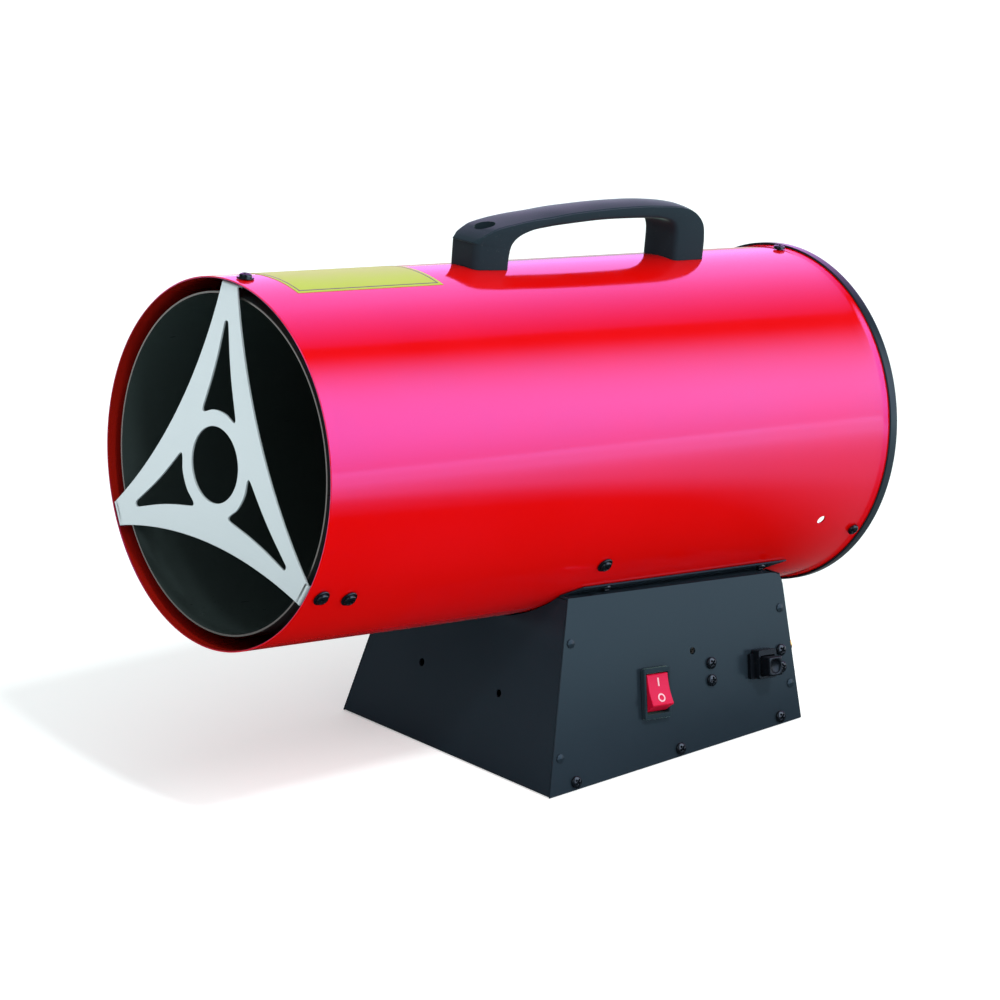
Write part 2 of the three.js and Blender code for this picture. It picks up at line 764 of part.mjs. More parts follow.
function fanImpeller() {
  const middle = (hubFront + hubRear) / 2;
  const hub = turnedAboutY([
    [shaftRadius, hubFront], [hubRadius * 0.6, hubFront], [hubRadius, hubFront + 5],
    [hubRadius, hubRear], [shaftRadius, hubRear]], shaftSides);
  const blades = Array.from({ length: bladeCount }, (_, i) => (
    blade().translate(0, middle, 0).rotateY((2 * Math.PI * i) / bladeCount)));
  const bore = rodAlongY(freeRadius(shaftRadius + clearance, shaftSides), hubFront - 1, hubRear + 1, shaftSides);
  return cut(join(hub, ...blades), bore);
}

// ---- Burner ----

const burnerFront = tubeRear - burnerRim;
const plateBack = tubeRear;
const plateFront = plateBack - burnerSheet;
const holderFront = plateBack + 8;
const sensorPlaces = { electrode: [sensorOffset * 0.8, sensorOffset * 0.6],
  sensor: [-sensorOffset * 0.8, sensorOffset * 0.6] };

function burnerPlate() {
  const plateSides = 40;
  const rim = tubeBore * Math.cos(Math.PI / shellSides) - clearance;
  const profile = [
    [0, plateFront], [rim - burnerSheet, plateFront], [rim - burnerSheet, burnerFront],
    [rim, burnerFront], [rim, plateBack], [0, plateBack],
  ];
  const tools = [rodAlongY(nozzleRadius + 1.5, plateFront - 1, plateBack + 1)];
  for (const [x, z] of Object.values(sensorPlaces)) {
    tools.push(rodAlongY(ceramicRadius + clearance, plateFront - 1, plateBack + 1).translate(x, 0, z));
  }
  const louvres = 9;
  const outer = rim - burnerSheet - louvreMargin;
  const inner = outer - louvreLength;
  for (let i = 0; i < louvres; i += 1) {
    const slot = block(inner, outer, plateFront - 1, plateBack + 1,
      -louvreWidth / 2, louvreWidth / 2);
    tools.push(slot.rotateY((2 * Math.PI * (i + 0.5)) / louvres));
  }
  return cut(turnedAboutY(profile, plateSides), ...tools);
}

function burnerCup() {
  const back = plateFront - clearance;
  const mouth = back - cupLength;
  const wall = burnerSheet;
  const profile = [
    [nozzleRadius + 2, back], [nozzleRadius + 2, back - wall], [cupRootRadius - wall, back - wall],
    [cupMouthRadius - wall, mouth], [cupMouthRadius, mouth], [cupRootRadius, back],
  ];
  const holes = Array.from({ length: cupHoles }, (_, i) => {
    const row = i % 2;
    const y = back - cupLength * (row ? 0.3 : 0.62);
    return radialRod(y, (360 * i) / cupHoles, cupHoleRadius, cupRootRadius / 2, cupMouthRadius + 2, 8);
  });
  return cut(turnedAboutY(profile, 20), ...holes);
}

function gasNozzle() {
  const back = holderFront - clearance;
  const tip = plateFront - nozzleReach;
  return turnedAboutY([
    [0, back], [nozzleRadius, back], [nozzleRadius, plateBack + 2], [nozzleRadius * 0.8, plateBack],
    [nozzleRadius * 0.8, tip + 4], [nozzleRadius * 0.35, tip], [0, tip],
  ], 12);
}

function nozzleHolder() {
  const half = holderSize / 2;
  const body = block(-half, half, holderFront, holderFront + holderSize, -half, half);
  const legHeight = 4;
  const foot = plateBack + clearance;
  const reach = cupRootRadius;
  const bridge = block(-reach, reach, holderFront, holderFront + 2, -legHeight, legHeight);
  const legs = [-1, 1].map((sign) => {
    const [a, b] = [sign * reach, sign * (reach - 2)];
    return block(Math.min(a, b), Math.max(a, b), foot, holderFront + 2, -legHeight, legHeight);
  });
  return join(body, bridge, ...legs);
}

function igniterCeramic([x, z]) {
  const back = plateBack + ceramicLength / 2;
  const collar = ceramicRadius + 2;
  return turnedAboutY([
    [0, plateFront - ceramicLength / 2], [ceramicRadius * 0.8, plateFront - ceramicLength / 2],
    [ceramicRadius, plateFront - ceramicLength / 2 + 2], [ceramicRadius, plateBack + clearance],
    [collar, plateBack + clearance], [collar, plateBack + 5], [ceramicRadius, plateBack + 6],
    [ceramicRadius, back], [0, back],
  ], 8).translate(x, 0, z);
}

function igniterRod([x, z]) {
  const start = plateFront - ceramicLength / 2 - clearance;
  const path = new THREE.CatmullRomCurve3([
    new THREE.Vector3(x, start, z), new THREE.Vector3(x, start - electrodeLength * 0.36, z),
    new THREE.Vector3(x * 1.02, start - electrodeLength * 0.71, z * 1.02),
    new THREE.Vector3(x * 1.02, start - electrodeLength, z * 1.02),
  ]);
  const section = new THREE.Shape(arc(1.2, 0, 2 * Math.PI, 6).slice(0, -1));
  return new THREE.ExtrudeGeometry(section, { steps: 6, extrudePath: path });
}

function flameSensor([x, z]) {
  const tip = plateFront - ceramicLength * 0.75;
  return turnedAboutY([
    [0, tip], [1.4, tip + 2], [1.4, plateFront - 10], [ceramicRadius * 0.8, plateFront - 8],
    [ceramicRadius * 0.8, plateBack + clearance], [ceramicRadius + 2, plateBack + clearance],
    [ceramicRadius + 2, plateBack + sensorTail * 0.27], [1.6, plateBack + sensorTail * 0.36],
    [1.6, plateBack + sensorTail], [0, plateBack + sensorTail],
  ], 8).translate(x, 0, z);
}

function overheatSwitch() {
  const low = plateBack + clearance;
  const radius = 8;
  const body = turnedAboutY([[0, low], [radius, low], [radius, low + 7], [radius - 2, low + 9],
    [0, low + 9]], 16);
  const tabs = [-3.5, 3.5].map((x) => block(x - 0.5, x + 0.5, low + 8, low + 17, -2.5, 2.5));
  return join(body, ...tabs).translate(0, 0, sensorOffset);
}

// ---- Gas pipe, from the valve in the base up into the barrel ----

const holderMiddle = holderFront + holderSize / 2;
const pipeWindowHalf = pipeWindowWidth / 2;

function pipeWindow() {
  return [holderMiddle - pipeWindowFront, holderMiddle + pipeWindowRear];
}

function toFloor(matrix, x, y, z) {
  return new THREE.Vector3(x, y, z).applyMatrix4(matrix);
}

const controlTurn = new THREE.Matrix4().makeRotationZ(-tilt);
const valveFrame = sideFrame.clone().multiply(
  new THREE.Matrix4().makeTranslation(buttonY, buttonHeight, 0)).multiply(controlTurn);
const valveFront = -(capTravel + 9);
const valveBack = valveFront - valveDepth;

function gasPipe() {
  const socket = toFloor(barrelFrame, 0, holderMiddle, -holderSize / 2 - clearance);
  const below = toFloor(barrelFrame, 0, holderMiddle, -shellRadius - 4);
  const outlet = toFloor(valveFrame, 0, valveHeight / 2 + clearance, (valveFront + valveBack) / 2);
  const rise = toFloor(valveFrame, 0, valveHeight / 2 + 8, (valveFront + valveBack) / 2);
  const drop = below.clone().lerp(socket, 0.35);
  const cross = new THREE.Vector3(rise.x * 0.4, rise.y * 0.5 + below.y * 0.5, below.z - 9);
  const path = new THREE.CatmullRomCurve3([outlet, rise, cross, below, drop, socket], false, 'centripetal');
  const section = new THREE.Shape(arc(pipeRadius, 0, 2 * Math.PI, 8).slice(0, -1));
  return new THREE.ExtrudeGeometry(section, { steps: 18, extrudePath: path });
}

// ---- Base box ----

// Where a panel's sloping edge, y = foot + slope z, meets the level of the cradle flange.
function seatHeight(foot, slope) {
  const level = axisHeight + (seatZ - Math.sin(tilt) * foot) / Math.cos(tilt);
  return level / (1 + Math.tan(tilt) * slope);
}

function sideEdge(foot, slope, height) {
  return [foot + slope * height, height / Math.cos(lean)];
}

function sideOutline() {
  const low = baseSheet * Math.sin(lean);
  const front = seatHeight(baseFrontY, frontSlope);
  const back = seatHeight(baseRearY, rearSlope);
  return rounded([
    [...sideEdge(baseFrontY, frontSlope, low), 0], [...sideEdge(baseRearY, rearSlope, low), 0],
    [...sideEdge(baseRearY, rearSlope, back), panelCornerRadius],
    [...sideEdge(baseFrontY, frontSlope, front), 0],
  ]);
}

// The top corners of the side panel, in the barrel's frame.
function panelTopCorners() {
  const toBarrel = barrelFrame.clone().invert();
  return [[baseFrontY, frontSlope], [baseRearY, rearSlope]].map(([foot, slope]) => {
    const height = seatHeight(foot, slope);
    const x = halfBase - height * Math.tan(lean);
    return new THREE.Vector3(x, foot + slope * height, height).applyMatrix4(toBarrel);
  });
}

function cradleEnds() {
  return panelTopCorners().map((corner) => corner.y);
}

// A side panel with its ledge, the flange that lies on the shell, and the rivets at its corners.
function sidePanel(openings) {
  const face = plate(sideOutline(), -baseSheet, 0, openings);
  const [front, back] = panelTopCorners();
  const backEnd = back.y - panelCornerRadius;
  const backX = front.x + ((back.x - front.x) * (backEnd - front.y)) / (back.y - front.y);
  const ledgePlan = [[seatX, front.y], [front.x, front.y], [backX, backEnd], [seatX, backEnd]];
  const ledge = plate(ledgePlan.map(([x, y]) => new THREE.Vector2(x, y)), seatZ - baseSheet, seatZ);
  const flangeTop = cradleWidth - cradleTail;
  const flangePlan = [
    [front.y, -cradleTail], [backEnd, -cradleTail], [back.y + cradleOverhang, flangeTop],
    [front.y + cradleChamfer, flangeTop],
  ];
  const screws = cradleScrewYs().map((y) => hole(y, cradleScrewRise, smallShank + screwHoleGap));
  const flange = plate(flangePlan.map(([y, s]) => new THREE.Vector2(y, s)), 0, baseSheet, screws);
  const rivets = rivetPlaces().map(([u, v]) => moved(rivet(u, v), sideFrame));
  return join(moved(face, sideFrame), moved(ledge, barrelFrame), moved(flange, cradleFrame), ...rivets);
}

function mirrored(geometry) {
  return closed(geometry.clone().scale(-1, 1, 1));
}

function rivetPlaces() {
  const inset = flangeWidth * 0.38;
  const high = seatHeight(baseFrontY, frontSlope) * 0.765;
  const rearHigh = seatHeight(baseRearY, rearSlope) * 0.765;
  const low = trayFlange + 11;
  const place = (foot, slope, height, shift) => {
    const [u, v] = sideEdge(foot, slope, height);
    return [u + shift, v];
  };
  return [
    place(baseFrontY, frontSlope, high, inset), place(baseFrontY, frontSlope, low, inset),
    place(baseRearY, rearSlope, rearHigh, -inset), place(baseRearY, rearSlope, low + 2, -inset),
  ];
}

const trayScrewYs = [0, 0.5, 1].map((t) => (
  baseFrontY + trayScrewInset + (baseRearY - baseFrontY - trayScrewInset - trayScrewRearInset) * t));
const trayScrewHeight = trayFlange / 2;

// A flange stands behind its neighbour's face by the clearance.
const flangeBack = -(2 * baseSheet + clearance);
const flangeFace = -(baseSheet + clearance);

// An end panel with the side flanges that it is fixed by, cut to the barrel's curve.
function endPanel(panelFrame, foot, slope, leanDegrees, holes) {
  const angle = radians(leanDegrees);
  const low = trayLift(angle);
  const high = (seatHeight(foot, slope) - clearance - baseSheet) / Math.cos(angle);
  const halfWidth = (v) => (
    halfBase - v * Math.cos(angle) * Math.tan(lean) - (baseSheet + clearance) / Math.cos(lean));
  const face = plate([
    new THREE.Vector2(-halfWidth(low), low), new THREE.Vector2(halfWidth(low), low),
    new THREE.Vector2(halfWidth(high), high), new THREE.Vector2(-halfWidth(high), high),
  ], -baseSheet, 0, holes);
  const inwards = Math.sign(baseRearY - foot || -1);
  const flangeLow = trayFlange + 3;
  const flangeHigh = seatHeight(foot, slope) - 2 * baseSheet - 4;
  const [lowU, lowV] = sideEdge(foot, slope, flangeLow);
  const [highU, highV] = sideEdge(foot, slope, flangeHigh);
  const inset = inwards * baseSheet * 0.4;
  const plan = [[lowU + inset, lowV], [lowU + inwards * flangeWidth, lowV],
    [highU + inwards * flangeWidth, highV], [highU + inset, highV]];
  if (inwards < 0) plan.reverse();
  const flat = plate(plan.map(([u, v]) => new THREE.Vector2(u, v)), flangeBack, flangeFace);
  const flange = moved(flat, sideFrame);
  const barrelCut = moved(
    rodAlongY(freeRadius(shellRadius + 2 * clearance, shellSides), -halfLength, halfLength, shellSides),
    barrelFrame);
  const bores = pairHoles(buttonY, buttonHeight, valvePairOffset, valvePairRise)
    .map((points) => moved(plate(points, flangeBack - 1, 0), sideFrame));
  return cut(join(moved(face, panelFrame), flange, mirrored(flange)), barrelCut, ...bores);
}

function trayLift(angle) {
  return baseSheet * Math.sin(angle) + clearance;
}

// The bottom tray, with folds that stand behind the feet of the four panels.
function basePlate() {
  const inset = baseSheet + 2 * clearance;
  const flat = block(-halfBase + inset, halfBase - inset, baseFrontY + inset, baseRearY - inset, 0, baseSheet);
  const fold = (length, angle) => rectangle(0, trayFlange / 2 + baseSheet * 0.5, length, trayFlange)
    .map((p) => new THREE.Vector2(p.x, Math.max(p.y, baseSheet * 0.5 - flangeBack * Math.sin(angle) * 0.5)));
  const middle = (baseFrontY + baseRearY) / 2;
  const screws = trayScrewYs.map((y) => hole(y - middle, trayScrewHeight, panShank + screwHoleGap));
  const sideFold = plate(fold(baseRearY - baseFrontY - 2 * flangeWidth, lean), flangeBack, flangeFace, screws)
    .translate(middle, 0, 0);
  const endLength = baseWidth - 2 * flangeWidth;
  const frontFold = plate(fold(endLength, radians(frontLean)), flangeBack, flangeFace);
  const rearFold = plate(fold(endLength, radians(rearLean)), flangeBack, flangeFace);
  const right = moved(sideFold, sideFrame);
  return join(flat, right, mirrored(right), moved(frontFold, frontFrame), moved(rearFold, rearFrame));
}

// The inlet screws into the middle of the valve's rear face.
const valveMiddle = toFloor(valveFrame, 0, 0, (valveFront + valveBack) / 2);
const inletX = valveMiddle.x;
const inletHeight = valveMiddle.z / Math.cos(radians(rearLean));
const inletRadius = 6.5;
const inletLength = 20;
const inletHexDepth = 6;
const glandX = -52;
const glandHeight = 34;
const glandRadius = 7;
const cordRadius = 4;

function rearHoles() {
  return [hole(-inletX, inletHeight, inletRadius + clearance, 16),
    hole(-glandX, glandHeight, glandRadius + clearance, 16)];
}

function frontHoles() {
  return [-panelHoleX, panelHoleX].map((x) => hole(x, panelHoleHeight, panelHoleDiameter / 2, 12));
}

function pairHoles(u, v, offset, rise) {
  return [-1, 1].map((sign) => {
    const place = new THREE.Vector2(offset, rise + (sign * pairSpacing) / 2)
      .rotateAround(new THREE.Vector2(), -tilt).add(new THREE.Vector2(u, v));
    return hole(place.x, place.y, panShank + screwHoleGap);
  });
}

function controlOpenings() {
  const body = switchBodySize();
  const gap = 2 * clearance;
  const square = [capWidth, capHeight].map((size) => size + 2 * clearance + gap);
  return [
    rectangle(switchY, switchHeight, body[0] + gap, body[1] + gap, -tilt),
    rectangle(buttonY, buttonHeight, ...square, -tilt),
    ...pairHoles(buttonY, buttonHeight, valvePairOffset, valvePairRise),
    ...pairHoles(terminalY, terminalHeight, 0, 0),
    hole(lampHoleY, lampHoleHeight, lampHoleDiameter / 2, 12),
    ...trayScrewYs.map((y) => hole(y, trayScrewHeight, panShank + screwHoleGap)),
  ];
}

// ---- Switch ----

function switchWindow() {
  return [rockerWidth + 2 * 0.4, 2 * (rockerHalfLength + 0.9)];
}

function switchBodySize() {
  return switchWindow().map((size) => size + 2 * switchWall);
}

function switchBody() {
  const [width, height] = switchBodySize();
  const [openWidth, openHeight] = switchWindow();
  const front = clearance + bezelThickness;
  const bezel = plate(rounded(rectangle(0, 0, bezelWidth, bezelHeight).map((p) => [p.x, p.y, 1.5]), 2),
    clearance, front);
  const box = block(-width / 2, width / 2, -height / 2, height / 2, -switchDepth, clearance + 1);
  const space = block(-openWidth / 2, openWidth / 2, -openHeight / 2, openHeight / 2,
    -switchDepth + 2 * switchWall, front + 1);
  const tabs = [-7, 0, 7].map((y) => block(-2.4, 2.4, y - 0.4, y + 0.4, -switchDepth - 8, -switchDepth + 1));
  return join(cut(join(bezel, box), space), ...tabs);
}

// The rocker's side view: two raised ends with a dip between them, over a round belly.
function switchRocker() {
  const face = [-1, -0.5, 0, 0.5, 1].map((t) => [t * rockerNose, rockerRise - rockerDip * (1 - t * t), 0]);
  const belly = arc(rockerHalfLength * 0.55, 0, -Math.PI, 6).map((p) => [p.x, p.y, 0]);
  const outline = rounded([
    [-rockerHalfLength, 0.6, 0], ...face, [rockerHalfLength, 0.6, 0], ...belly], 2);
  // The outline's first axis runs up the panel and its second out of it.
  return extruded(outline, [], rockerWidth).translate(0, 0, -rockerWidth / 2)
    .applyMatrix4(new THREE.Matrix4().makeBasis(
      new THREE.Vector3(0, 1, 0), new THREE.Vector3(0, 0, 1), new THREE.Vector3(1, 0, 0)));
}

// ---- Gas button ----

function gasButton() {
  const half = [capWidth / 2, capHeight / 2];
  const back = -(capTravel + 2);
  const cap = block(-half[0], half[0], -half[1], half[1], back, capProtrusion);
  const bowl = (dishRadius ** 2 + dishDepth ** 2) / (2 * dishDepth);
  const dish = new THREE.SphereGeometry(bowl, 12, 20).rotateX(Math.PI / 2)
    .translate(0, 0, capProtrusion + bowl - dishDepth);
  const stem = rod(stemRadius, valveFront - capTravel - 2, back + 1, 12);
  return join(cut(cap, dish), stem);
}

function buttonCollar() {
  const inner = [capWidth / 2 + clearance * 1.5, capHeight / 2 + clearance * 1.5];
  const outer = inner.map((size) => size + collarWall);
  const brow = 2; // the collar is taller over the cap than under it
  const housing = block(-outer[0], outer[0], -outer[1], outer[1] + brow, clearance, collarHeight);
  const flange = block(-outer[0] - collarFlange, outer[0] + collarFlange * 0.5, -outer[1], outer[1],
    clearance, clearance + collarFlangeThickness);
  const space = block(-inner[0], inner[0], -inner[1], inner[1], -1, collarHeight + 1);
  return cut(join(housing, flange), space);
}

function gasValve() {
  const half = [valveWidth / 2, valveHeight / 2];
  const body = block(-half[0], half[0], -half[1], half[1], valveBack, valveFront);
  const reach = valvePairOffset + panHead;
  const foot = block(valvePairOffset - panHead, reach, valvePairRise - pairSpacing, valvePairRise + pairSpacing,
    valveFront - 4, flangeBack - clearance);
  const arm = block(half[0] - 1, reach, valvePairRise - pairSpacing, valvePairRise + pairSpacing,
    valveFront - 4, valveFront);
  const bore = rod(freeRadius(stemRadius + 2 * clearance, 12), valveFront - 2 * capTravel - 6, valveFront + 1, 12);
  const bores = [-1, 1].map((sign) => (
    rod(panShank + screwHoleGap, -panLength - 3, 0, holeSides)
      .translate(valvePairOffset, valvePairRise + (sign * pairSpacing) / 2, 0)));
  return cut(join(body, foot, arm), bore, ...bores);
}

function terminalBlock() {
  const back = -baseSheet - clearance;
  const body = block(-9, 9, -16, 16, back - 14, back);
  const wells = [-10, 0, 10].map((y) => block(-9.5, -5, y - 3, y + 3, back - 15, back - 8));
  const bores = [-1, 1].map((sign) => (
    rod(panShank + screwHoleGap, -panLength - 3, 0, holeSides).translate(0, (sign * pairSpacing) / 2, 0)));
  return cut(body, ...wells, ...bores);
}

// ---- Rear fittings ----

function gasInlet(valveEnd) {
  const thread = inletRadius - 0.8;
  const collar = inletRadius + 2;
  return turned([
    [0, valveEnd], [thread, valveEnd], [thread, -baseSheet - 3], [collar, -baseSheet - 3],
    [collar, -baseSheet - clearance], [inletRadius, -baseSheet - clearance], [inletRadius, clearance],
    [collar + 1, clearance], [collar + 1, inletHexDepth], [thread, inletHexDepth + 1],
    [thread, inletLength], [2, inletLength], [2, inletHexDepth + 2], [0, inletHexDepth + 2],
  ], 10);
}

function cableGland() {
  const outer = glandRadius + 3;
  return turned([
    [cordRadius, -9], [glandRadius, -9], [glandRadius, clearance], [outer, clearance], [outer, 4],
    [outer - 1.5, 9], [outer - 3, 15], [cordRadius, 15],
  ], 12);
}

function ignitionModule() {
  const low = baseSheet + clearance;
  const outline = rectangle(0, 0, moduleWidth, moduleDepth).map((p) => [p.x, p.y, moduleWidth / 12]);
  const box = plate(rounded(outline, 2), low, low + moduleHeight);
  const ears = block(-moduleEar / 2, moduleEar / 2, -moduleDepth / 2 - moduleEar,
    moduleDepth / 2 + moduleEar, low, low + 3);
  return join(box, ears).translate(moduleX, (baseFrontY + baseRearY) / 2, 0);
}

// ---- Assembly ----

piece(barrel, 'outer_shell', outerShell(), finishes.redPaint);
piece(barrel, 'combustion_tube', combustionTube(), finishes.heatedSteel);
piece(barrel, 'front_guard', frontGuard(), finishes.stainless);
piece(barrel, 'rear_guard', rearGuard(), finishes.blackPaint);
piece(barrel, 'handle', handle(), finishes.handlePlastic);

const handleScrew = piece(barrel, 'handle_screw', panScrew(handleSeatThickness + 5), finishes.blackSteel);
setOnBarrel(handleScrew, handleScrewY, 90, shellRadius + handleSeatThickness + clearance);

for (const [name, y, angle, make] of shellScrews) {
  setOnBarrel(piece(barrel, name, make(), finishes.blackSteel), y, angle, shellRadius + clearance);
}

piece(barrel, 'burner_plate', burnerPlate(), finishes.heatedSteel);
piece(barrel, 'burner_cup', burnerCup(), finishes.heatedSteel);
piece(barrel, 'gas_nozzle', gasNozzle(), finishes.brass);
piece(barrel, 'nozzle_holder', nozzleHolder(), finishes.zincSteel);
piece(barrel, 'igniter_ceramic', igniterCeramic(sensorPlaces.electrode), finishes.ceramic);
piece(barrel, 'igniter_rod', igniterRod(sensorPlaces.electrode), finishes.zincSteel);
piece(barrel, 'flame_sensor', flameSensor(sensorPlaces.sensor), finishes.copper);
piece(barrel, 'overheat_switch', overheatSwitch(), finishes.blackPlastic);
piece(object, 'gas_pipe', gasPipe(), finishes.copper);

piece(barrel, 'motor_body', motorBody(), finishes.blackPaint);
piece(barrel, 'motor_front_bell', motorBell(frontBellFront, 1, 3), finishes.zincSteel);
piece(barrel, 'motor_rear_bell', motorBell(motorRear, -1, 0), finishes.zincSteel);
piece(barrel, 'motor_shaft', rodAlongY(shaftRadius, nutFront - 3, motorRear - 1, shaftSides), finishes.zincSteel);
piece(barrel, 'fan_impeller', fanImpeller(), finishes.aluminium);
piece(barrel, 'fan_nut', turnedAboutY([
  [freeRadius(shaftRadius + clearance, 6), nutFront], [8, nutFront], [8, hubFront - clearance],
  [freeRadius(shaftRadius + clearance, 6), hubFront - clearance]], 6), finishes.zincSteel);

piece(object, 'base_plate', basePlate(), finishes.blackPaint);
piece(object, 'front_panel',
  endPanel(frontFrame, baseFrontY, frontSlope, frontLean, frontHoles()), finishes.blackPaint);
piece(object, 'rear_panel',
  endPanel(rearFrame, baseRearY, rearSlope, rearLean, rearHoles()), finishes.blackPaint);
piece(object, 'control_panel', sidePanel(controlOpenings()), finishes.blackPaint);
piece(object, 'left_panel', mirrored(sidePanel([])), finishes.blackPaint);

function controlGroup(u, v) {
  const group = new THREE.Group();
  group.position.set(u, v, 0);
  group.rotation.z = -tilt;
  side.add(group);
  return group;
}

const switchGroup = controlGroup(switchY, switchHeight);
piece(switchGroup, 'switch_body', switchBody(), finishes.blackPlastic);
const rocker = piece(switchGroup, 'switch_rocker', switchRocker(), finishes.redPlastic);
rocker.position.z = -pivotDepth;
rocker.rotation.x = -radians(rockerTilt);

const buttonGroup = controlGroup(buttonY, buttonHeight);
piece(buttonGroup, 'button_collar', buttonCollar(), finishes.blackPlastic);
piece(buttonGroup, 'gas_button', gasButton(), finishes.blackPlastic);
piece(buttonGroup, 'gas_valve', gasValve(), finishes.aluminium);

const terminalGroup = controlGroup(terminalY, terminalHeight);
piece(terminalGroup, 'terminal_block', terminalBlock(), finishes.whitePlastic);

function screwPair(group, name, offset, rise) {
  [-1, 1].forEach((sign, i) => {
    const screw = piece(group, `${name}_${i + 1}`, panScrew(), finishes.blackSteel);
    screw.position.set(offset, rise + (sign * pairSpacing) / 2, clearance);
  });
}

screwPair(buttonGroup, 'valve_screw', valvePairOffset, valvePairRise);
screwPair(terminalGroup, 'terminal_screw', 0, 0);

trayScrewYs.forEach((y, i) => {
  const screw = piece(side, `tray_screw_${i + 1}`, panScrew(), finishes.blackSteel);
  screw.position.set(y, trayScrewHeight, clearance);
});

cradleScrewYs().forEach((y, i) => {
  const screw = piece(cradleGroup, `cradle_screw_${i + 1}`, smallScrew(), finishes.blackSteel);
  screw.position.set(y, cradleScrewRise, baseSheet + clearance);
});

const inlet = piece(rear, 'gas_inlet', gasInlet(-12.2), finishes.brass);
inlet.position.set(-inletX, inletHeight, 0);
const gland = piece(rear, 'cable_gland', cableGland(), finishes.blackPlastic);
gland.position.set(-glandX, glandHeight, 0);
piece(object, 'ignition_module', ignitionModule(), finishes.blackPlastic);

export default object;
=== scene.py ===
import math

import bmesh
import bpy
import numpy as np
from mathutils import Matrix, Vector


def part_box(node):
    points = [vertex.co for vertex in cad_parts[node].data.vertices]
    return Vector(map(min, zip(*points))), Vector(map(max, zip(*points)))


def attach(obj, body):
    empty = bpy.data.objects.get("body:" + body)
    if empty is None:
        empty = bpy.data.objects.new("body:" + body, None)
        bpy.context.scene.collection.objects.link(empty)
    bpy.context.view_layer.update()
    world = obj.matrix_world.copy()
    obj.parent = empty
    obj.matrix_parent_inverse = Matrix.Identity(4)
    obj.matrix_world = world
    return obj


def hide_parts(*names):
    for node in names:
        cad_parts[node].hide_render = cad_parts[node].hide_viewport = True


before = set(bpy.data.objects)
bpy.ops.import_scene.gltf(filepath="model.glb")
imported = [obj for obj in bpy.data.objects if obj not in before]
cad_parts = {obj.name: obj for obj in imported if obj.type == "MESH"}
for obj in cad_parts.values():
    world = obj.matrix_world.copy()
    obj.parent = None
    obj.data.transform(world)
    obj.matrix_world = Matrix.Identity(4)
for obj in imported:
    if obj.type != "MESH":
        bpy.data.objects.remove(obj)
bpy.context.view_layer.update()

# Shapes are worked out in millimetres and put into the meshes in metres.
millimetre = 0.001
barrel = {"tilt": 6.28, "height": 188.3, "radius": 105, "wall": 1.0, "half": 219.5, "sides": 288}
tilt = math.radians(barrel["tilt"])
onBarrel = Matrix.Translation((0, 0, barrel["height"])) @ Matrix.Rotation(-tilt, 4, "X")


def panelFrame(origin, u, v):
    # u runs along the panel's foot, v up its slope, and w = u x v out of it
    w = Vector(u).cross(Vector(v))
    matrix = Matrix((u, v, w)).transposed().to_4x4()
    return Matrix.Translation(origin) @ matrix


lean = math.radians(10.93)
rearLean = math.radians(1.94)
onSide = panelFrame((97.6, 0, 0), (0, 1, 0), (-math.sin(lean), 0, math.cos(lean)))
onRear = panelFrame((0, 152.2, 0), (-1, 0, 0), (0, -math.sin(rearLean), math.cos(rearLean)))


def control(u, v):
    # the controls stand square to the tilted barrel
    return onSide @ Matrix.Translation((u, v, 0)) @ Matrix.Rotation(-tilt, 4, "Z")


def radial(y, degrees, radius):
    # a place on the barrel whose w points straight out
    a = math.radians(degrees)
    out = Vector((math.cos(a), 0, math.sin(a)))
    along = Vector((0, 1, 0))
    across = along.cross(out)
    matrix = Matrix((across, along, out)).transposed().to_4x4()
    return onBarrel @ Matrix.Translation(out * radius + along * y) @ matrix


# ---- shader groups and materials

def feed(tree, inputs, given):
    # each input is set to a value or joined to another node's output
    for key, value in given.items():
        if isinstance(value, bpy.types.NodeSocket):
            tree.links.new(value, inputs[key])
        else:
            inputs[key].default_value = value


def newNode(tree, kind, given=None, **settings):
    made = tree.nodes.new("ShaderNode" + kind)
    for key, value in settings.items():
        setattr(made, key, value)
    feed(tree, made.inputs, given or {})
    return made


def newGroup(name, inputs, outputs):
    # an input's kind follows from its default: a number, a vector or a colour
    group = bpy.data.node_groups.new(name, "ShaderNodeTree")
    for label, default in inputs.items():
        kind = "Float" if isinstance(default, float) else {3: "Vector", 4: "Color"}[len(default)]
        socket = group.interface.new_socket(label, in_out="INPUT", socket_type="NodeSocket" + kind)
        socket.default_value = default
    for label in outputs:
        kind = "Color" if label == "Colour" else "Float"
        group.interface.new_socket(label, in_out="OUTPUT", socket_type="NodeSocket" + kind)
    return group, group.nodes.new("NodeGroupInput").outputs


def giveOut(group, **results):
    feed(group, group.nodes.new("NodeGroupOutput").inputs, results)
    return group


def maths(tree, operation, a, b=0):
    return newNode(tree, "Math", {0: a, 1: b}, operation=operation).outputs[0]


def spreadOver(tree, value, start, end, low=0.0, high=1.0, smooth=False):
    # takes the range from start to end over to the range from low to high
    given = {"Value": value, "From Min": start, "From Max": end, "To Min": low, "To Max": high}
    kind = "SMOOTHSTEP" if smooth else "LINEAR"
    return newNode(tree, "MapRange", given, interpolation_type=kind).outputs["Result"]


def noise(tree, vector, scale, detail=3.0):
    given = {"Vector": vector, "Scale": scale, "Detail": detail}
    return newNode(tree, "TexNoise", given).outputs["Fac"]


def swing(tree, value, middle, reach):
    # a noise's middle range swings reach below and above the middle
    low, high = (maths(tree, way, middle, reach) for way in ("SUBTRACT", "ADD"))
    return spreadOver(tree, value, *noiseRange, low, high)


def objectPoint(tree):
    return newNode(tree, "TexCoord").outputs["Object"]


def separate(tree, vector):
    return newNode(tree, "SeparateXYZ", {0: vector}).outputs


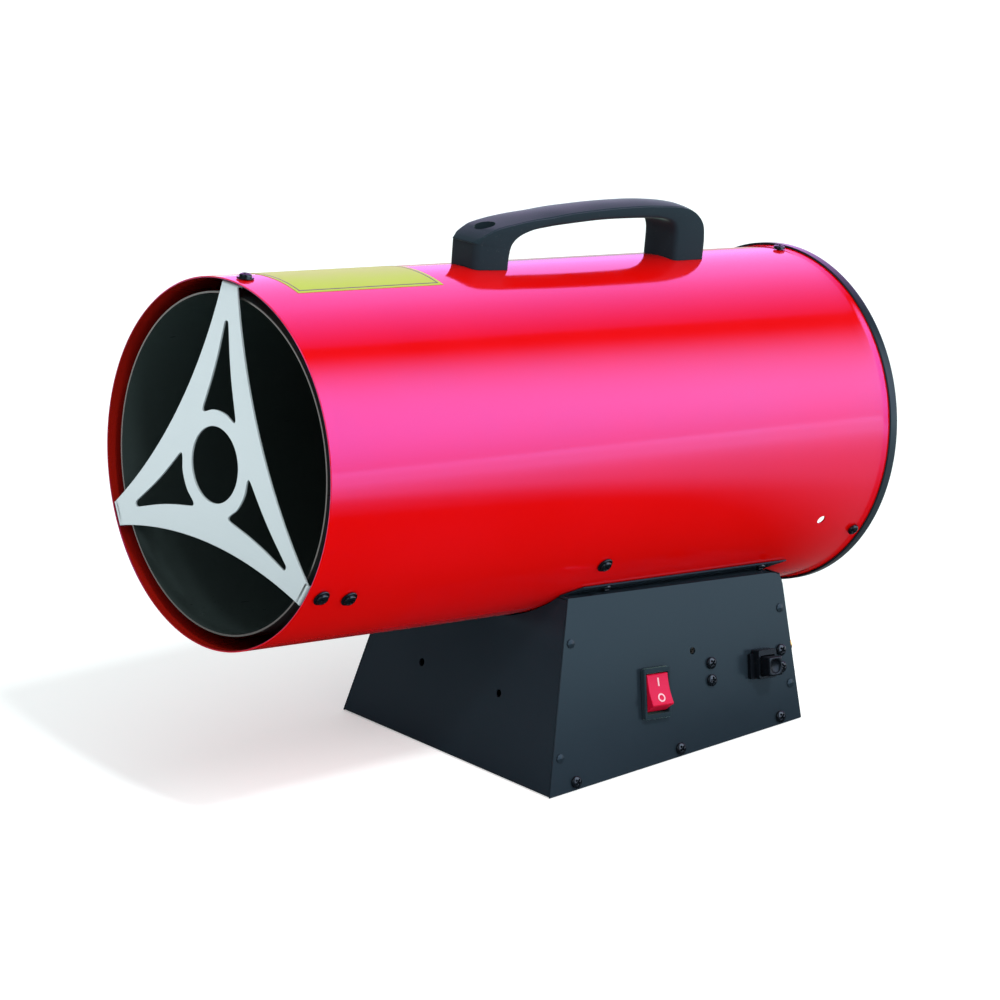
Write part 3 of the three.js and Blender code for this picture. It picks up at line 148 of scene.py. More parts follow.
def mixColour(tree, factor, a, b):
    return newNode(tree, "Mix", {"Factor": factor, "A": a, "B": b}, data_type="RGBA").outputs["Result"]


def scaleColour(tree, colour, amount):
    return newNode(tree, "VectorMath", {0: colour, "Scale": amount}, operation="SCALE").outputs[0]


noiseRange = (0.3, 0.7)


def surfaceGroup():
    # fine texture, soft unevenness of gloss, and specks of dust, from where a point lies on the piece
    group, given = newGroup("surfaceFinish", {
        "Colour": (0.5, 0.5, 0.5, 1), "Texture Scale": 900.0, "Roughness": 0.4, "Unevenness": 0.05,
        "Shade": 0.06, "Dust": 0.02}, ("Colour", "Roughness", "Height"))
    at = objectPoint(group)
    broad = noise(group, at, 14.0)
    specks = maths(group, "GREATER_THAN", noise(group, at, 620.0, 1.0), 0.7)
    shaded = scaleColour(group, given["Colour"], swing(group, broad, 1.0, given["Shade"]))
    dusty = mixColour(group, maths(group, "MULTIPLY", specks, given["Dust"]), shaded, (0.5, 0.48, 0.45, 1))
    gloss = swing(group, broad, given["Roughness"], given["Unevenness"])
    return giveOut(group, Colour=dusty, Roughness=gloss, Height=noise(group, at, given["Texture Scale"]))


def innerShadeMaskGroup():
    # a mask that is 1 on the barrel's inner wall, from how far a point lies off the barrel's axis; there the
    # red paint gets painted shade
    group, given = newGroup("innerShadeMask", {
        "Axis Height": barrel["height"] * millimetre, "Tilt": tilt,
        "Radius": (barrel["radius"] - barrel["wall"] / 2) * millimetre}, ("Inside",))
    x, y, z = separate(group, objectPoint(group))
    rise = maths(group, "SUBTRACT", z, given["Axis Height"])
    upright = maths(group, "MULTIPLY", rise, maths(group, "COSINE", given["Tilt"]))
    across = maths(group, "ADD", upright, maths(group, "MULTIPLY", y, maths(group, "SINE", given["Tilt"])))
    squares = [maths(group, "MULTIPLY", side, side) for side in (across, x)]
    far = maths(group, "SQRT", maths(group, "ADD", *squares))
    return giveOut(group, Inside=maths(group, "LESS_THAN", far, given["Radius"]))


def brushedGroup():
    # long fine scratches along one axis of the piece
    group, given = newGroup("brushedGrain", {
        "Colour": (0.6, 0.6, 0.6, 1), "Stretch": (60, 1800, 1800), "Roughness": 0.3, "Contrast": 0.08},
        ("Colour", "Roughness", "Height"))
    at = objectPoint(group)
    stretched = newNode(group, "VectorMath", {0: at, 1: given["Stretch"]}, operation="MULTIPLY").outputs[0]
    lines = noise(group, stretched, 1.0, 2.0)
    both = maths(group, "ADD", maths(group, "MULTIPLY", lines, 0.6),
                 maths(group, "MULTIPLY", noise(group, at, 22.0), 0.4))
    dark = maths(group, "SUBTRACT", 1.0, given["Contrast"])
    shade = scaleColour(group, given["Colour"], spreadOver(group, both, *noiseRange, dark, 1.0))
    gloss = swing(group, both, given["Roughness"], given["Contrast"])
    return giveOut(group, Colour=shade, Roughness=gloss, Height=lines)


def heatGroup():
    # steel that has been hot: straw, then brown and blue towards the burner, in uneven bands along Y
    group, given = newGroup("heatTint", {
        "Colour": (0.1, 0.1, 0.1, 1), "Start": -0.22, "End": 0.06, "Strength": 0.4}, ("Colour",))
    at = objectPoint(group)
    wobble = maths(group, "MULTIPLY", noise(group, at, 16.0), 0.09)
    along = maths(group, "ADD", separate(group, at)["Y"], wobble)
    bands = newNode(group, "ValToRGB", {"Fac": spreadOver(group, along, given["Start"], given["End"])})
    stops = [(0.0, (0.055, 0.07, 0.07, 1)), (0.4, (0.05, 0.058, 0.066, 1)), (0.7, (0.075, 0.06, 0.05, 1)),
             (1.0, (0.045, 0.05, 0.085, 1))]
    elements = bands.color_ramp.elements
    while len(elements) < len(stops):
        elements.new(0.5)
    for element, (position, colour) in zip(elements, stops):
        element.position = position
        element.color = colour
    hot = mixColour(group, given["Strength"], given["Colour"], bands.outputs["Color"])
    return giveOut(group, Colour=hot)


surfaceFinish = surfaceGroup()
brushedGrain = brushedGroup()
heatTint = heatGroup()
innerShadeMask = innerShadeMaskGroup()


def newMaterial(name, recipe):
    # gloss is a level and a tint, sheen is a weight, a roughness and a tint
    made = bpy.data.materials.new(name)
    made.use_nodes = True
    tree = made.node_tree
    given = {"Colour": (*recipe["colour"], 1), "Roughness": recipe["rough"]}
    if "stretch" in recipe:
        kind = brushedGrain
        given.update({"Stretch": recipe["stretch"], "Contrast": recipe["uneven"]})
    else:
        kind = surfaceFinish
        given.update({"Texture Scale": recipe["grain"], "Unevenness": recipe["uneven"],
                      "Shade": recipe.get("shade", 0.05), "Dust": recipe.get("dust", 0.0)})
    finish = newNode(tree, "Group", given, node_tree=kind).outputs
    colour = finish["Colour"]
    if "heat" in recipe:
        given = {"Strength": recipe["heat"], "Colour": colour}
        colour = newNode(tree, "Group", given, node_tree=heatTint).outputs["Colour"]
    # painted shade: on the barrel's inner wall the paint's colour gives way to a darker one
    if "inside" in recipe:
        depth = newNode(tree, "Group", node_tree=innerShadeMask).outputs["Inside"]
        colour = mixColour(tree, depth, colour, (*recipe["inside"], 1))
    bump = newNode(tree, "Bump", {"Strength": recipe["bump"], "Distance": recipe.get("depth", 0.0001),
                                  "Height": finish["Height"]})
    look = {"Base Color": colour, "Roughness": finish["Roughness"], "Normal": bump.outputs["Normal"],
            "Metallic": recipe.get("metal", 0.0)}
    if "gloss" in recipe:
        level, tint = recipe["gloss"]
        look.update({"Specular IOR Level": level, "Specular Tint": (*tint, 1)})
    if "sheen" in recipe:
        weight, rough, tint = recipe["sheen"]
        look.update({"Sheen Weight": weight, "Sheen Roughness": rough, "Sheen Tint": (*tint, 1)})
    feed(tree, tree.nodes["Principled BSDF"].inputs, look)
    return made

finishes = {
    # redPaint's inside colour is painted shade, a darker red for the barrel's inner wall
    "redPaint": {"colour": (0.8, 0.0022, 0.0006), "rough": 0.1, "uneven": 0.02, "grain": 260, "bump": 0.03,
                 "depth": 0.0002, "shade": 0.02, "inside": (0.3, 0.008, 0.004),
                 "gloss": (1.0, (0.16, 0.18, 1.0))},
    "tubeSteel": {"colour": (0.075, 0.115, 0.11), "rough": 0.34, "uneven": 0.07, "stretch": (900, 25, 900),
                  "bump": 0.1, "heat": 0.3, "metal": 0.5},
    "cutSteel": {"colour": (0.1, 0.095, 0.09), "rough": 0.25, "uneven": 0.08, "stretch": (900, 900, 900),
                 "bump": 0.08, "metal": 0.2},
    "stainless": {"colour": (0.62, 0.72, 0.755), "rough": 0.36, "uneven": 0.035, "stretch": (35, 900, 2400),
                  "bump": 0.04, "metal": 0.35},
    "blackPaint": {"colour": (0.016, 0.026, 0.036), "rough": 0.2, "uneven": 0.03, "grain": 1500,
                   "bump": 0.03, "shade": 0.03, "gloss": (0.15, (0.4, 0.78, 1.0))},
    "slateMoulding": {"colour": (0.019, 0.033, 0.044), "rough": 0.42, "uneven": 0.05, "grain": 2600,
                      "bump": 0.2, "dust": 0.02, "gloss": (0.02, (0.5, 1.0, 0.8)),
                      "sheen": (0.5, 0.3, (0.6, 1, 0.88))},
    "blackMoulding": {"colour": (0.004, 0.0055, 0.008), "rough": 0.3, "uneven": 0.05, "grain": 2400,
                      "bump": 0.15, "dust": 0.02, "gloss": (0.16, (0.5, 0.8, 1.0))},
    "redMoulding": {"colour": (0.62, 0.006, 0.035), "rough": 0.24, "uneven": 0.03, "grain": 1200,
                    "bump": 0.04, "gloss": (0.2, (0.6, 0.3, 1.0))},
    "whiteNylon": {"colour": (0.8, 0.79, 0.76), "rough": 0.45, "uneven": 0.05, "grain": 1400, "bump": 0.1},
    "zincPlate": {"colour": (0.5, 0.51, 0.53), "rough": 0.32, "uneven": 0.1, "grain": 700, "bump": 0.1,
                  "shade": 0.14, "metal": 0.9},
    "blackOxide": {"colour": (0.005, 0.007, 0.01), "rough": 0.14, "uneven": 0.03, "grain": 1800,
                   "bump": 0.06, "dust": 0.02, "gloss": (0.4, (0.6, 0.85, 1.0))},
    "castAlloy": {"colour": (0.4, 0.44, 0.42), "rough": 0.42, "uneven": 0.09, "grain": 900, "bump": 0.25,
                  "shade": 0.1, "metal": 0.35},
    "turnedBrass": {"colour": (0.6, 0.4, 0.14), "rough": 0.28, "uneven": 0.08, "grain": 800, "bump": 0.08,
                    "shade": 0.12, "metal": 0.95},
    "drawnCopper": {"colour": (0.55, 0.24, 0.13), "rough": 0.3, "uneven": 0.1, "grain": 500, "bump": 0.08,
                    "shade": 0.18, "metal": 0.95},
    "alumina": {"colour": (0.8, 0.77, 0.7), "rough": 0.55, "uneven": 0.05, "grain": 2000, "bump": 0.2},
    "labelYellow": {"colour": (0.44, 0.59, 0.045), "rough": 0.35, "uneven": 0.03, "grain": 500,
                    "bump": 0.05, "shade": 0.03, "gloss": (0.05, (0.5, 1, 0.5))},
    "labelInk": {"colour": (0.02, 0.02, 0.018), "rough": 0.4, "uneven": 0.03, "grain": 500, "bump": 0.05},
    "markWhite": {"colour": (0.95, 0.6, 0.66), "rough": 0.4, "uneven": 0.04, "grain": 900, "bump": 0.05},
}
material = {name: newMaterial(name, recipe) for name, recipe in finishes.items()}
print("materials ready", len(material))


# ---- mesh helpers

def quads(rows, columns, wrapRows, wrapColumns):
    # corner numbers of the faces of a grid of rows x columns points
    i = np.arange(rows if wrapRows else rows - 1)[:, None]
    j = np.arange(columns if wrapColumns else columns - 1)[None, :]
    below = ((i + 1) % rows) * columns
    beside = (j + 1) % columns
    faces = np.stack([i * columns + j, i * columns + beside, below + beside, below + j], -1)
    return faces.reshape(-1, 4)


def skin(grid, wrapRows=False, wrapColumns=True, caps=True):
    # a surface through a grid of points, with flat caps on its first and last rows
    rows, columns = grid.shape[:2]
    faces = quads(rows, columns, wrapRows, wrapColumns).tolist()
    if caps and not wrapRows:
        faces.append(list(range(columns)))
        faces.append(list(range(rows * columns - 1, (rows - 1) * columns - 1, -1)))
    return grid.reshape(-1, 3), faces


def gather(*parts):
    points, faces, count = [], [], 0
    for vertices, polygons in parts:
        points.append(np.asarray(vertices, float))
        faces += [[n + count for n in polygon] for polygon in polygons]
        count += len(vertices)
    return np.concatenate(points), faces


def place(part, matrix):
    points = np.c_[part[0], np.ones(len(part[0]))] @ np.array(matrix).T
    return points[:, :3], part[1]


def meshOf(name, part):
    mesh = bpy.data.meshes.new(name)
    mesh.from_pydata((np.asarray(part[0]) * millimetre).tolist(), [], part[1])
    return mesh


def newObject(name, data):
    obj = bpy.data.objects.new(name, data)
    bpy.context.scene.collection.objects.link(obj)
    return obj


def merged(mesh, distance, flat=0.0):
    # a working copy with its doubles merged and, past the flat angle, its level faces joined
    work = bmesh.new()
    work.from_mesh(mesh)
    bmesh.ops.remove_doubles(work, verts=work.verts, dist=distance)
    if flat:
        bmesh.ops.dissolve_limit(work, angle_limit=flat, verts=work.verts, edges=work.edges)
    return work


def shadeCrisp(mesh, angle=32):
    # smooth, but for the edges over the angle
    mesh.shade_smooth()
    mesh.set_sharp_from_angle(angle=math.radians(angle))


def tidy(mesh, angle=32):
    work = merged(mesh, 1e-6)
    bmesh.ops.recalc_face_normals(work, faces=work.faces)
    work.to_mesh(mesh)
    work.free()
    shadeCrisp(mesh, angle)


def soften(obj, width):
    bevel = obj.modifiers.new("edges", "BEVEL")
    bevel.width = width * millimetre
    bevel.segments = 2
    bevel.limit_method = "ANGLE"
    bevel.angle_limit = foldAngle
    bevel.harden_normals = True
    bevel.miter_outer = "MITER_ARC"


foldAngle = math.radians(40)


def paint(mesh, finish):
    mesh.materials.clear()
    mesh.materials.append(material[finish])


def newPiece(name, part, finish, body="heater", replaces=(), edge=0.0, angle=32):
    mesh = meshOf(name, part)
    tidy(mesh, angle)
    obj = newObject(name, mesh)
    paint(mesh, finish)
    if edge:
        soften(obj, edge)
    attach(obj, body)
    if replaces:
        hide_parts(*replaces)
    return obj


def evaluatedMesh(obj):
    graph = bpy.context.evaluated_depsgraph_get()
    return bpy.data.meshes.new_from_object(obj.evaluated_get(graph))


def carve(obj, *cutters):
    # cuts holes with closed tools and keeps the result as the piece's own mesh
    tools = []
    for part in cutters:
        mesh = meshOf("tool", part)
        tidy(mesh)
        tools.append(newObject("tool", mesh))
        cut = obj.modifiers.new("cut", "BOOLEAN")
        cut.operation = "DIFFERENCE"
        cut.solver = "EXACT"
        cut.object = tools[-1]
    result = evaluatedMesh(obj)
    obj.modifiers.clear()
    obj.data = result
    for tool in tools:
        bpy.data.objects.remove(tool)
    shadeCrisp(result)
    return obj


def turned(profile, sides=64, matrix=None):
    # [radius, height] points turned about Z; a profile off the axis closes on itself
    profile = np.array(profile, float)
    ring = np.c_[circle(0, 0, 1, sides), np.zeros(sides)]
    grid = profile[:, None, :1] * ring[None] + profile[:, None, 1:] * np.array([0, 0, 1.0])
    solid = profile[0, 0] < 1e-6
    part = skin(grid, wrapRows=not solid, caps=False)
    return place(part, matrix) if matrix is not None else part


alongY = Matrix.Rotation(-math.pi / 2, 4, "X")  # Z to +Y


def turnedOnBarrel(profile, sides):
    return turned(profile, sides, onBarrel @ alongY)


def sheet(loops, low, high):
    # a flat plate through an outline and its holes
    curve = bpy.data.curves.new("outline", "CURVE")
    curve.dimensions = "2D"
    curve.fill_mode = "BOTH"
    curve.extrude = (high - low) / 2
    for loop in loops:
        spline = curve.splines.new("POLY")
        spline.points.add(len(loop) - 1)
        spline.points.foreach_set("co", np.c_[loop, np.zeros(len(loop)), np.ones(len(loop))].ravel())
        spline.use_cyclic_u = True
    holder = newObject("outline", curve)
    mesh = evaluatedMesh(holder)
    bpy.data.objects.remove(holder)
    work = merged(mesh, 1e-4, 0.001)
    points = np.array([v.co for v in work.verts]) + np.array([0, 0, (low + high) / 2])
    work.verts.index_update()
    faces = [[v.index for v in face.verts] for face in work.faces]
    work.free()
    return points, faces


def arc(radius, start, end, steps, x=0.0, y=0.0):
    a = np.linspace(start, end, steps + 1)
    return np.stack([x + radius * np.cos(a), y + radius * np.sin(a)], -1)


def circle(x, y, radius, sides=32):
    return arc(radius, 0, 2 * np.pi, sides, x, y)[:-1]


def turnPoints(points, angle):
    c, s = math.cos(angle), math.sin(angle)
    return np.asarray(points) @ np.array([[c, s], [-s, c]])


def roundCorners(corners, steps=6):
    # each [x, y, radius] corner becomes a curve that starts and ends radius away from it
    points = []
    count = len(corners)
    for i, (x, y, radius) in enumerate(corners):
        here = np.array([x, y], float)
        if not radius:
            points.append(here[None])
            continue
        t = np.linspace(0, 1, steps + 1)[:, None]
        ends = []
        for other in (corners[i - 1], corners[(i + 1) % count]):
            step = np.array(other[:2], float) - here
            reach = np.linalg.norm(step)
            ends.append(here + step / reach * min(radius, reach / 2))
        points.append((1 - t) ** 2 * ends[0] + 2 * t * (1 - t) * here + t ** 2 * ends[1])
    return np.concatenate(points)


def roundedRing(width, height, radius, z, steps=6, x=0.0, y=0.0):
    # a rectangle with round corners, at one height
    points = [arc(radius, k * np.pi / 2, (k + 1) * np.pi / 2, steps,
                  x + sx * (width / 2 - radius), y + sy * (height / 2 - radius))
              for k, (sx, sy) in enumerate([(1, 1), (-1, 1), (-1, -1), (1, -1)])]
    return np.c_[np.concatenate(points), np.full(4 * (steps + 1), z)]


def roundRing(radius, z):
    # a circle with as many points as a rounded rectangle
    points = [arc(radius, k * np.pi / 2 + 0.02, (k + 1) * np.pi / 2 - 0.02, 6) for k in range(4)]
    return np.c_[np.concatenate(points), np.full(28, z)]


def ringSkin(rings, **options):
    # a skin over rounded rectangles, each of a width, a height, a corner radius and a place in depth
    return skin(np.stack([roundedRing(*ring) for ring in rings]), **options)


def smoothLine(points, count):
    # a Catmull-Rom curve through the points
    p = np.array(points, float)
    p = np.concatenate([2 * p[:1] - p[1:2], p, 2 * p[-1:] - p[-2:-1]])
    t = np.linspace(0, len(points) - 1 - 1e-9, count)
    i = t.astype(int)
    f = (t - i)[:, None]
    a, b, c, d = p[i], p[i + 1], p[i + 2], p[i + 3]
    bend, twist = 2 * a - 5 * b + 4 * c - d, 3 * b - a - 3 * c + d
    return 0.5 * (2 * b + (c - a) * f + bend * f ** 2 + twist * f ** 3)


def softCopy(node, finish, edge=0.3):
    # a folded or moulded piece whose CAD shape is right gets rounded edges between flat faces
    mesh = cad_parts[node].data.copy()
    work = merged(mesh, 2e-5, 0.01)
    bmesh.ops.recalc_face_normals(work, faces=work.faces)
    folds = [e for e in work.edges if len(e.link_faces) == 2 and e.calc_face_angle() > foldAngle]
    made = bmesh.ops.bevel(work, geom=folds, offset=edge * millimetre, segments=2, profile=0.5,
                           affect="EDGES", clamp_overlap=True)
    rounded = set(made["faces"])
    for face in work.faces:
        face.smooth = face in rounded
    work.to_mesh(mesh)
    work.free()
    obj = newObject(node + "Finished", mesh)
    paint(mesh, finish)
    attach(obj, "heater")
    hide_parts(node)


# ---- camera and light

def makeCamera():
    view = {"at": (1.52446, -1.31018, 0.76604), "to": (0.0, -0.0096, 0.1503), "lens": 126.21, "sensor": 36}
    camera = newObject("photoCamera", bpy.data.cameras.new("photoCamera"))
    camera.data.sensor_width = view["sensor"]
    camera.data.lens = view["lens"]
    camera.data.clip_end = 50
    camera.location = view["at"]
    aim = Vector(view["to"]) - Vector(view["at"])
    camera.rotation_euler = aim.to_track_quat("-Z", "Y").to_euler()
    bpy.context.scene.camera = camera


def makeLight(name, azimuth, elevation, strength, spread):
    # the studio boxes in the world show in reflections in place of this
    data = bpy.data.lights.new(name, "SUN")
    data.energy = strength
    data.angle = math.radians(spread)
    lamp = newObject(name, data)
    a, e = math.radians(azimuth), math.radians(elevation)
    towards = Vector((math.cos(a) * math.cos(e), math.sin(a) * math.cos(e), math.sin(e)))
    lamp.location = towards * 3
    lamp.rotation_euler = (-towards).to_track_quat("-Z", "Y").to_euler()
    lamp.visible_glossy = False
    lamp.visible_camera = False


def studioBoxes(tree):
    # each box is a patch of azimuth and elevation in degrees with its own soft or hard edges
    x, y, z = separate(tree, objectPoint(tree))
    azimuth = maths(tree, "DEGREES", maths(tree, "ARCTAN2", y, x))
    elevation = maths(tree, "DEGREES", maths(tree, "ARCSINE", z))
    boxes = [
        {"colour": (5.2, 4.6, 5.2), "azimuth": ((77, 47), (-20, 15)), "elevation": ((-30, 20), (80, 55))},
        {"colour": (2.1, 0.95, 2.5), "azimuth": ((82.6, 83.4), (178, 160)), "elevation": ((-12, 6), (80, 60)),
         "rise": (83, 120, 0.13)},
        {"colour": (1.6, 1.6, 1.6), "azimuth": ((-110, -85), (-40, -65)), "elevation": ((8, 25), (75, 55))},
    ]
    total = (0.05, 0.05, 0.05)
    for box in boxes:
        light = 1.0
        for value, edges in ((azimuth, box["azimuth"]), (elevation, box["elevation"])):
            for start, end in edges:
                light = maths(tree, "MULTIPLY", spreadOver(tree, value, start, end, smooth=True), light)
        if "rise" in box:
            light = maths(tree, "MULTIPLY", spreadOver(tree, azimuth, *box["rise"]), light)
        given = {0: light, 1: box["colour"], 2: total}
        total = newNode(tree, "VectorMath", given, operation="MULTIPLY_ADD").outputs[0]
    return total


def softFill(tree):
    # the diffuse light is weakest from the front and left, strongest from above and the right
    given = {0: objectPoint(tree), 1: (0.5, 0.25, 0.83)}
    side = newNode(tree, "VectorMath", given, operation="DOT_PRODUCT").outputs["Value"]
    return spreadOver(tree, side, -0.2, 0.8, 0.4, 1.0, smooth=True)


def newShader(tree, kind, **given):
    return newNode(tree, kind, given).outputs[0]


def mixShader(tree, factor, a, b):
    return newNode(tree, "MixShader", {0: factor, 1: a, 2: b}).outputs[0]


white = (1, 1, 1, 1)


def makeFloor():
    reach = 9000.0
    corners = np.array([[-reach, -reach, 0], [reach, -reach, 0], [reach, reach, 0], [-reach, reach, 0]])
    mesh = meshOf("floor", (corners, [[0, 1, 2, 3]]))
    floor = newObject("floor", mesh)
    floor.location.z = -0.0004
    pale = bpy.data.materials.new("floorWhite")
    pale.use_nodes = True
    tree = pale.node_tree
    tree.nodes.clear()
    path = newNode(tree, "LightPath").outputs
    x, y = separate(tree, objectPoint(tree))[:2]
    # to the camera the floor also glows, as painted light that grows from left to right past the heater, so
    # that it is plain white but for the soft shadow to the left
    cameraGlow = spreadOver(tree, x, -0.1, 0.03, 0.29, 0.6, smooth=True)
    cameraGlow = maths(tree, "MULTIPLY", path["Is Camera Ray"], cameraGlow)
    seen = newShader(tree, "Emission", Color=white, Strength=cameraGlow)
    # the floor's lit colour is short of red, against the red light the barrel throws onto it
    lit = newShader(tree, "BsdfDiffuse", Color=(0.77, 0.86, 0.86, 1))
    both = newNode(tree, "AddShader", {0: lit, 1: seen}).outputs[0]
    # to glossy rays the floor is a painted glow in place of its lit colour: mirrored in the paint, it is dark
    # near the heater and brighter away towards the side box
    away = maths(tree, "MULTIPLY", maths(tree, "ADD", x, y), math.sqrt(0.5))
    glow = 0.01
    for value, start, end, high, smooth in (
            (away, 0.4, 1.7, 2.7, False), (away, 1.7, 5.0, 0.9, True), (away, -0.4, -1.3, 1.9, True),
            (y, 0.22, 0.42, 0.7, True)):
        glow = maths(tree, "ADD", spreadOver(tree, value, start, end, 0.0, high, smooth), glow)
    mirrored = newShader(tree, "Emission", Color=white, Strength=glow)
    surface = mixShader(tree, path["Is Glossy Ray"], both, mirrored)
    newNode(tree, "OutputMaterial", {"Surface": surface})
    mesh.materials.append(pale)


def makeWorld():
    world = bpy.data.worlds.new("studio")
    bpy.context.scene.world = world
    world.use_nodes = True
    tree = world.node_tree
    tree.nodes.clear()
    path = newNode(tree, "LightPath").outputs
    fill = newShader(tree, "Background", Color=white, Strength=softFill(tree))
    plain = newShader(tree, "Background", Color=white, Strength=1.0)
    boxes = newShader(tree, "Background", Color=studioBoxes(tree), Strength=1.0)
    unseen = mixShader(tree, path["Is Glossy Ray"], fill, boxes)
    seen = maths(tree, "MAXIMUM", path["Is Camera Ray"], path["Is Transmission Ray"])
    newNode(tree, "OutputWorld", {"Surface": mixShader(tree, seen, unseen, plain)})


makeCamera()
makeFloor()
makeWorld()
makeLight("keyLight", azimuth=-3, elevation=55, strength=1.05, spread=6)
bpy.context.scene.view_settings.view_transform = "Standard"
print("stage ready")


# ---- barrel

def shellPiece():
    half, radius, bore = barrel["half"], barrel["radius"], barrel["radius"] - barrel["wall"]
    flare = half - 10
    rows = [[bore + 0.25, -half], [radius - 0.3, -half], [radius, -half + 0.3]]
    rows += [[radius, y] for y in np.linspace(-half + 6, flare, 60)]
    rows += [[radius + 0.8 * t * t * (3 - 2 * t), flare + 5 * t] for t in np.linspace(0.1, 1, 8)]
    rows += [[radius + 0.8, half - 0.3], [radius + 0.5, half], [bore + 0.2, half], [bore, half - 0.3]]
    rows += [[bore, y] for y in np.linspace(half - 8, -half + 0.3, 20)]
    obj = newPiece("shellSkin", turnedOnBarrel(rows, barrel["sides"]), "redPaint",
                   replaces=("outer_shell",))
    sight = {"y": 174, "angle": -25.6, "radius": 3.0}
    tool = turned([[0, -6], [sight["radius"], -6], [sight["radius"], 6], [0, 6]], 32,
                  radial(sight["y"], sight["angle"], radius))
    window = skin(np.stack([roundedRing(40, 42, 6, z, 4) for z in (-12.0, 12.0)]))
    window = place(window, radial(85.6, -90, radius))
    return carve(obj, tool, window)


def tubePiece():
    tube = {"radius": 96.5, "wall": 1.0, "front": -215.5, "length": 273}
    outer, inner = tube["radius"], tube["radius"] - tube["wall"]
    front, back = tube["front"], tube["front"] + tube["length"]
    rows = [[outer, y] for y in np.linspace(front + 0.2, back, 30)]
    rows += [[inner, y] for y in np.linspace(back, front + 0.2, 40)]
    parts = [turnedOnBarrel(rows, 224)]
    head = [[0, -0.4], [2.6, -0.4], [2.6, 1.2], [1.4, 2.0], [0, 2.0]]
    bush = [[2.1, 0], [5, 0], [5, 7.0], [2.1, 7.0]]
    for y, side in [(-188, -33.5), (-188, 213.5), (2, -33.5), (2, 213.5)]:
        inward = radial(y, side, inner) @ Matrix.Rotation(math.pi, 4, "X")
        parts += [turned(head, 20, inward), turned(bush, 24, radial(y, side, outer))]
    newPiece("flameTube", gather(*parts), "tubeSteel", replaces=("combustion_tube",))
    edge = [[outer + 0.02, front + 0.2], [outer + 0.02, front], [inner - 0.02, front],
            [inner - 0.02, front + 0.2]]
    newPiece("flameTubeEdge", turnedOnBarrel(edge, 224), "cutSteel")


def guardPiece():
    guard = {"turn": -1.5, "arm": 14.6, "waist": 45.0, "hole": 21.7, "ring": 30.9, "reach": 101.2,
             "tip": 82.2, "nose": 1.9, "foot": 33.5, "sheet": 1.2, "bend": 1.3}
    shift = math.radians(guard["turn"])
    half = guard["arm"] / 2

    def edge():
        a = math.asin(half / guard["reach"])
        end = guard["reach"] * np.array([math.cos(np.pi / 3 - a), math.sin(np.pi / 3 - a)])
        sag = end[0] - guard["waist"]
        radius = (end[1] ** 2 + sag ** 2) / (2 * sag)
        sweep = math.asin(end[1] / radius)
        return arc(radius, math.pi + sweep, math.pi - sweep, 36, guard["waist"] + radius)

    def window():
        inner, wide = guard["ring"], math.asin(guard["foot"] / 2 / guard["ring"])
        right, left = math.pi / 2 - wide, math.pi / 2 + wide
        foot = [[inner * math.cos(a), inner * math.sin(a)] for a in (right, left)]
        bow = [[p[0] / 2 - math.copysign(1.2, p[0]), (p[1] + guard["tip"]) / 2] for p in foot]
        rim = arc(inner, left - 0.34, right + 0.34, 8)
        nose = arc(guard["nose"], 0.2, math.pi - 0.2, 8, 0, guard["tip"] - guard["nose"])
        corners = [[*foot[0], 5.2], [*bow[0], 20]] + [[*p, 0] for p in nose] + [[*bow[1], 20], [*foot[1], 5.2]]
        return roundCorners(corners + [[*p, 0] for p in rim], 8)

    turns = [2 * math.pi * k / 3 for k in range(3)]
    outline = np.concatenate([turnPoints(edge(), t + math.pi / 6 + shift) for t in turns])
    loops = [outline, circle(0, 0, guard["hole"], 72)] + [turnPoints(window(), t + shift) for t in turns]
    face = sheet(loops, -guard["sheet"], 0)
    # the plate's normal becomes -Y on the barrel
    flat = onBarrel @ Matrix.Translation((0, -barrel["half"], 0)) @ Matrix.Rotation(math.pi / 2, 4, "X")
    parts = [place(face, flat)]
    # each arm ends in a tab that bends back inside the shell
    sheetWall, bend = guard["sheet"], guard["bend"]
    face, end, top = -barrel["half"], -199.5, 103.2
    outer = np.concatenate([[[face, guard["reach"] - 2]],
                            arc(bend, np.pi, np.pi / 2, 8, face + bend, top - bend), [[end, top]]])
    inner = np.concatenate([[[face + sheetWall, guard["reach"] - 2]],
                            arc(bend - sheetWall + 0.02, np.pi, np.pi / 2, 8, face + bend, top - bend),
                            [[end, top - sheetWall]]])
    loop = np.concatenate([outer, inner[::-1]])
    strip = np.stack([np.c_[np.full(len(loop), x), loop] for x in (-half + 0.12, half - 0.12)])
    for angle in turns:
        parts.append(place(skin(strip), onBarrel @ Matrix.Rotation(-angle - shift, 4, "Y")))
    newPiece("outletGuard", gather(*parts), "stainless", replaces=("front_guard",), edge=0.22)


def slotLoop(inner, outer, start, end, steps):
    # a curved slot with round ends
    r = (outer - inner) / 2
    m = inner + r
    a, b = start + r / m, end - r / m
    far = arc(r, b, b + math.pi, 8, m * math.cos(b), m * math.sin(b))
    near = arc(r, a + math.pi, a + 2 * math.pi, 8, m * math.cos(a), m * math.sin(a))
    return np.concatenate([arc(outer, a, b, steps), far[1:-1], arc(inner, b, a, steps), near[1:-1]])


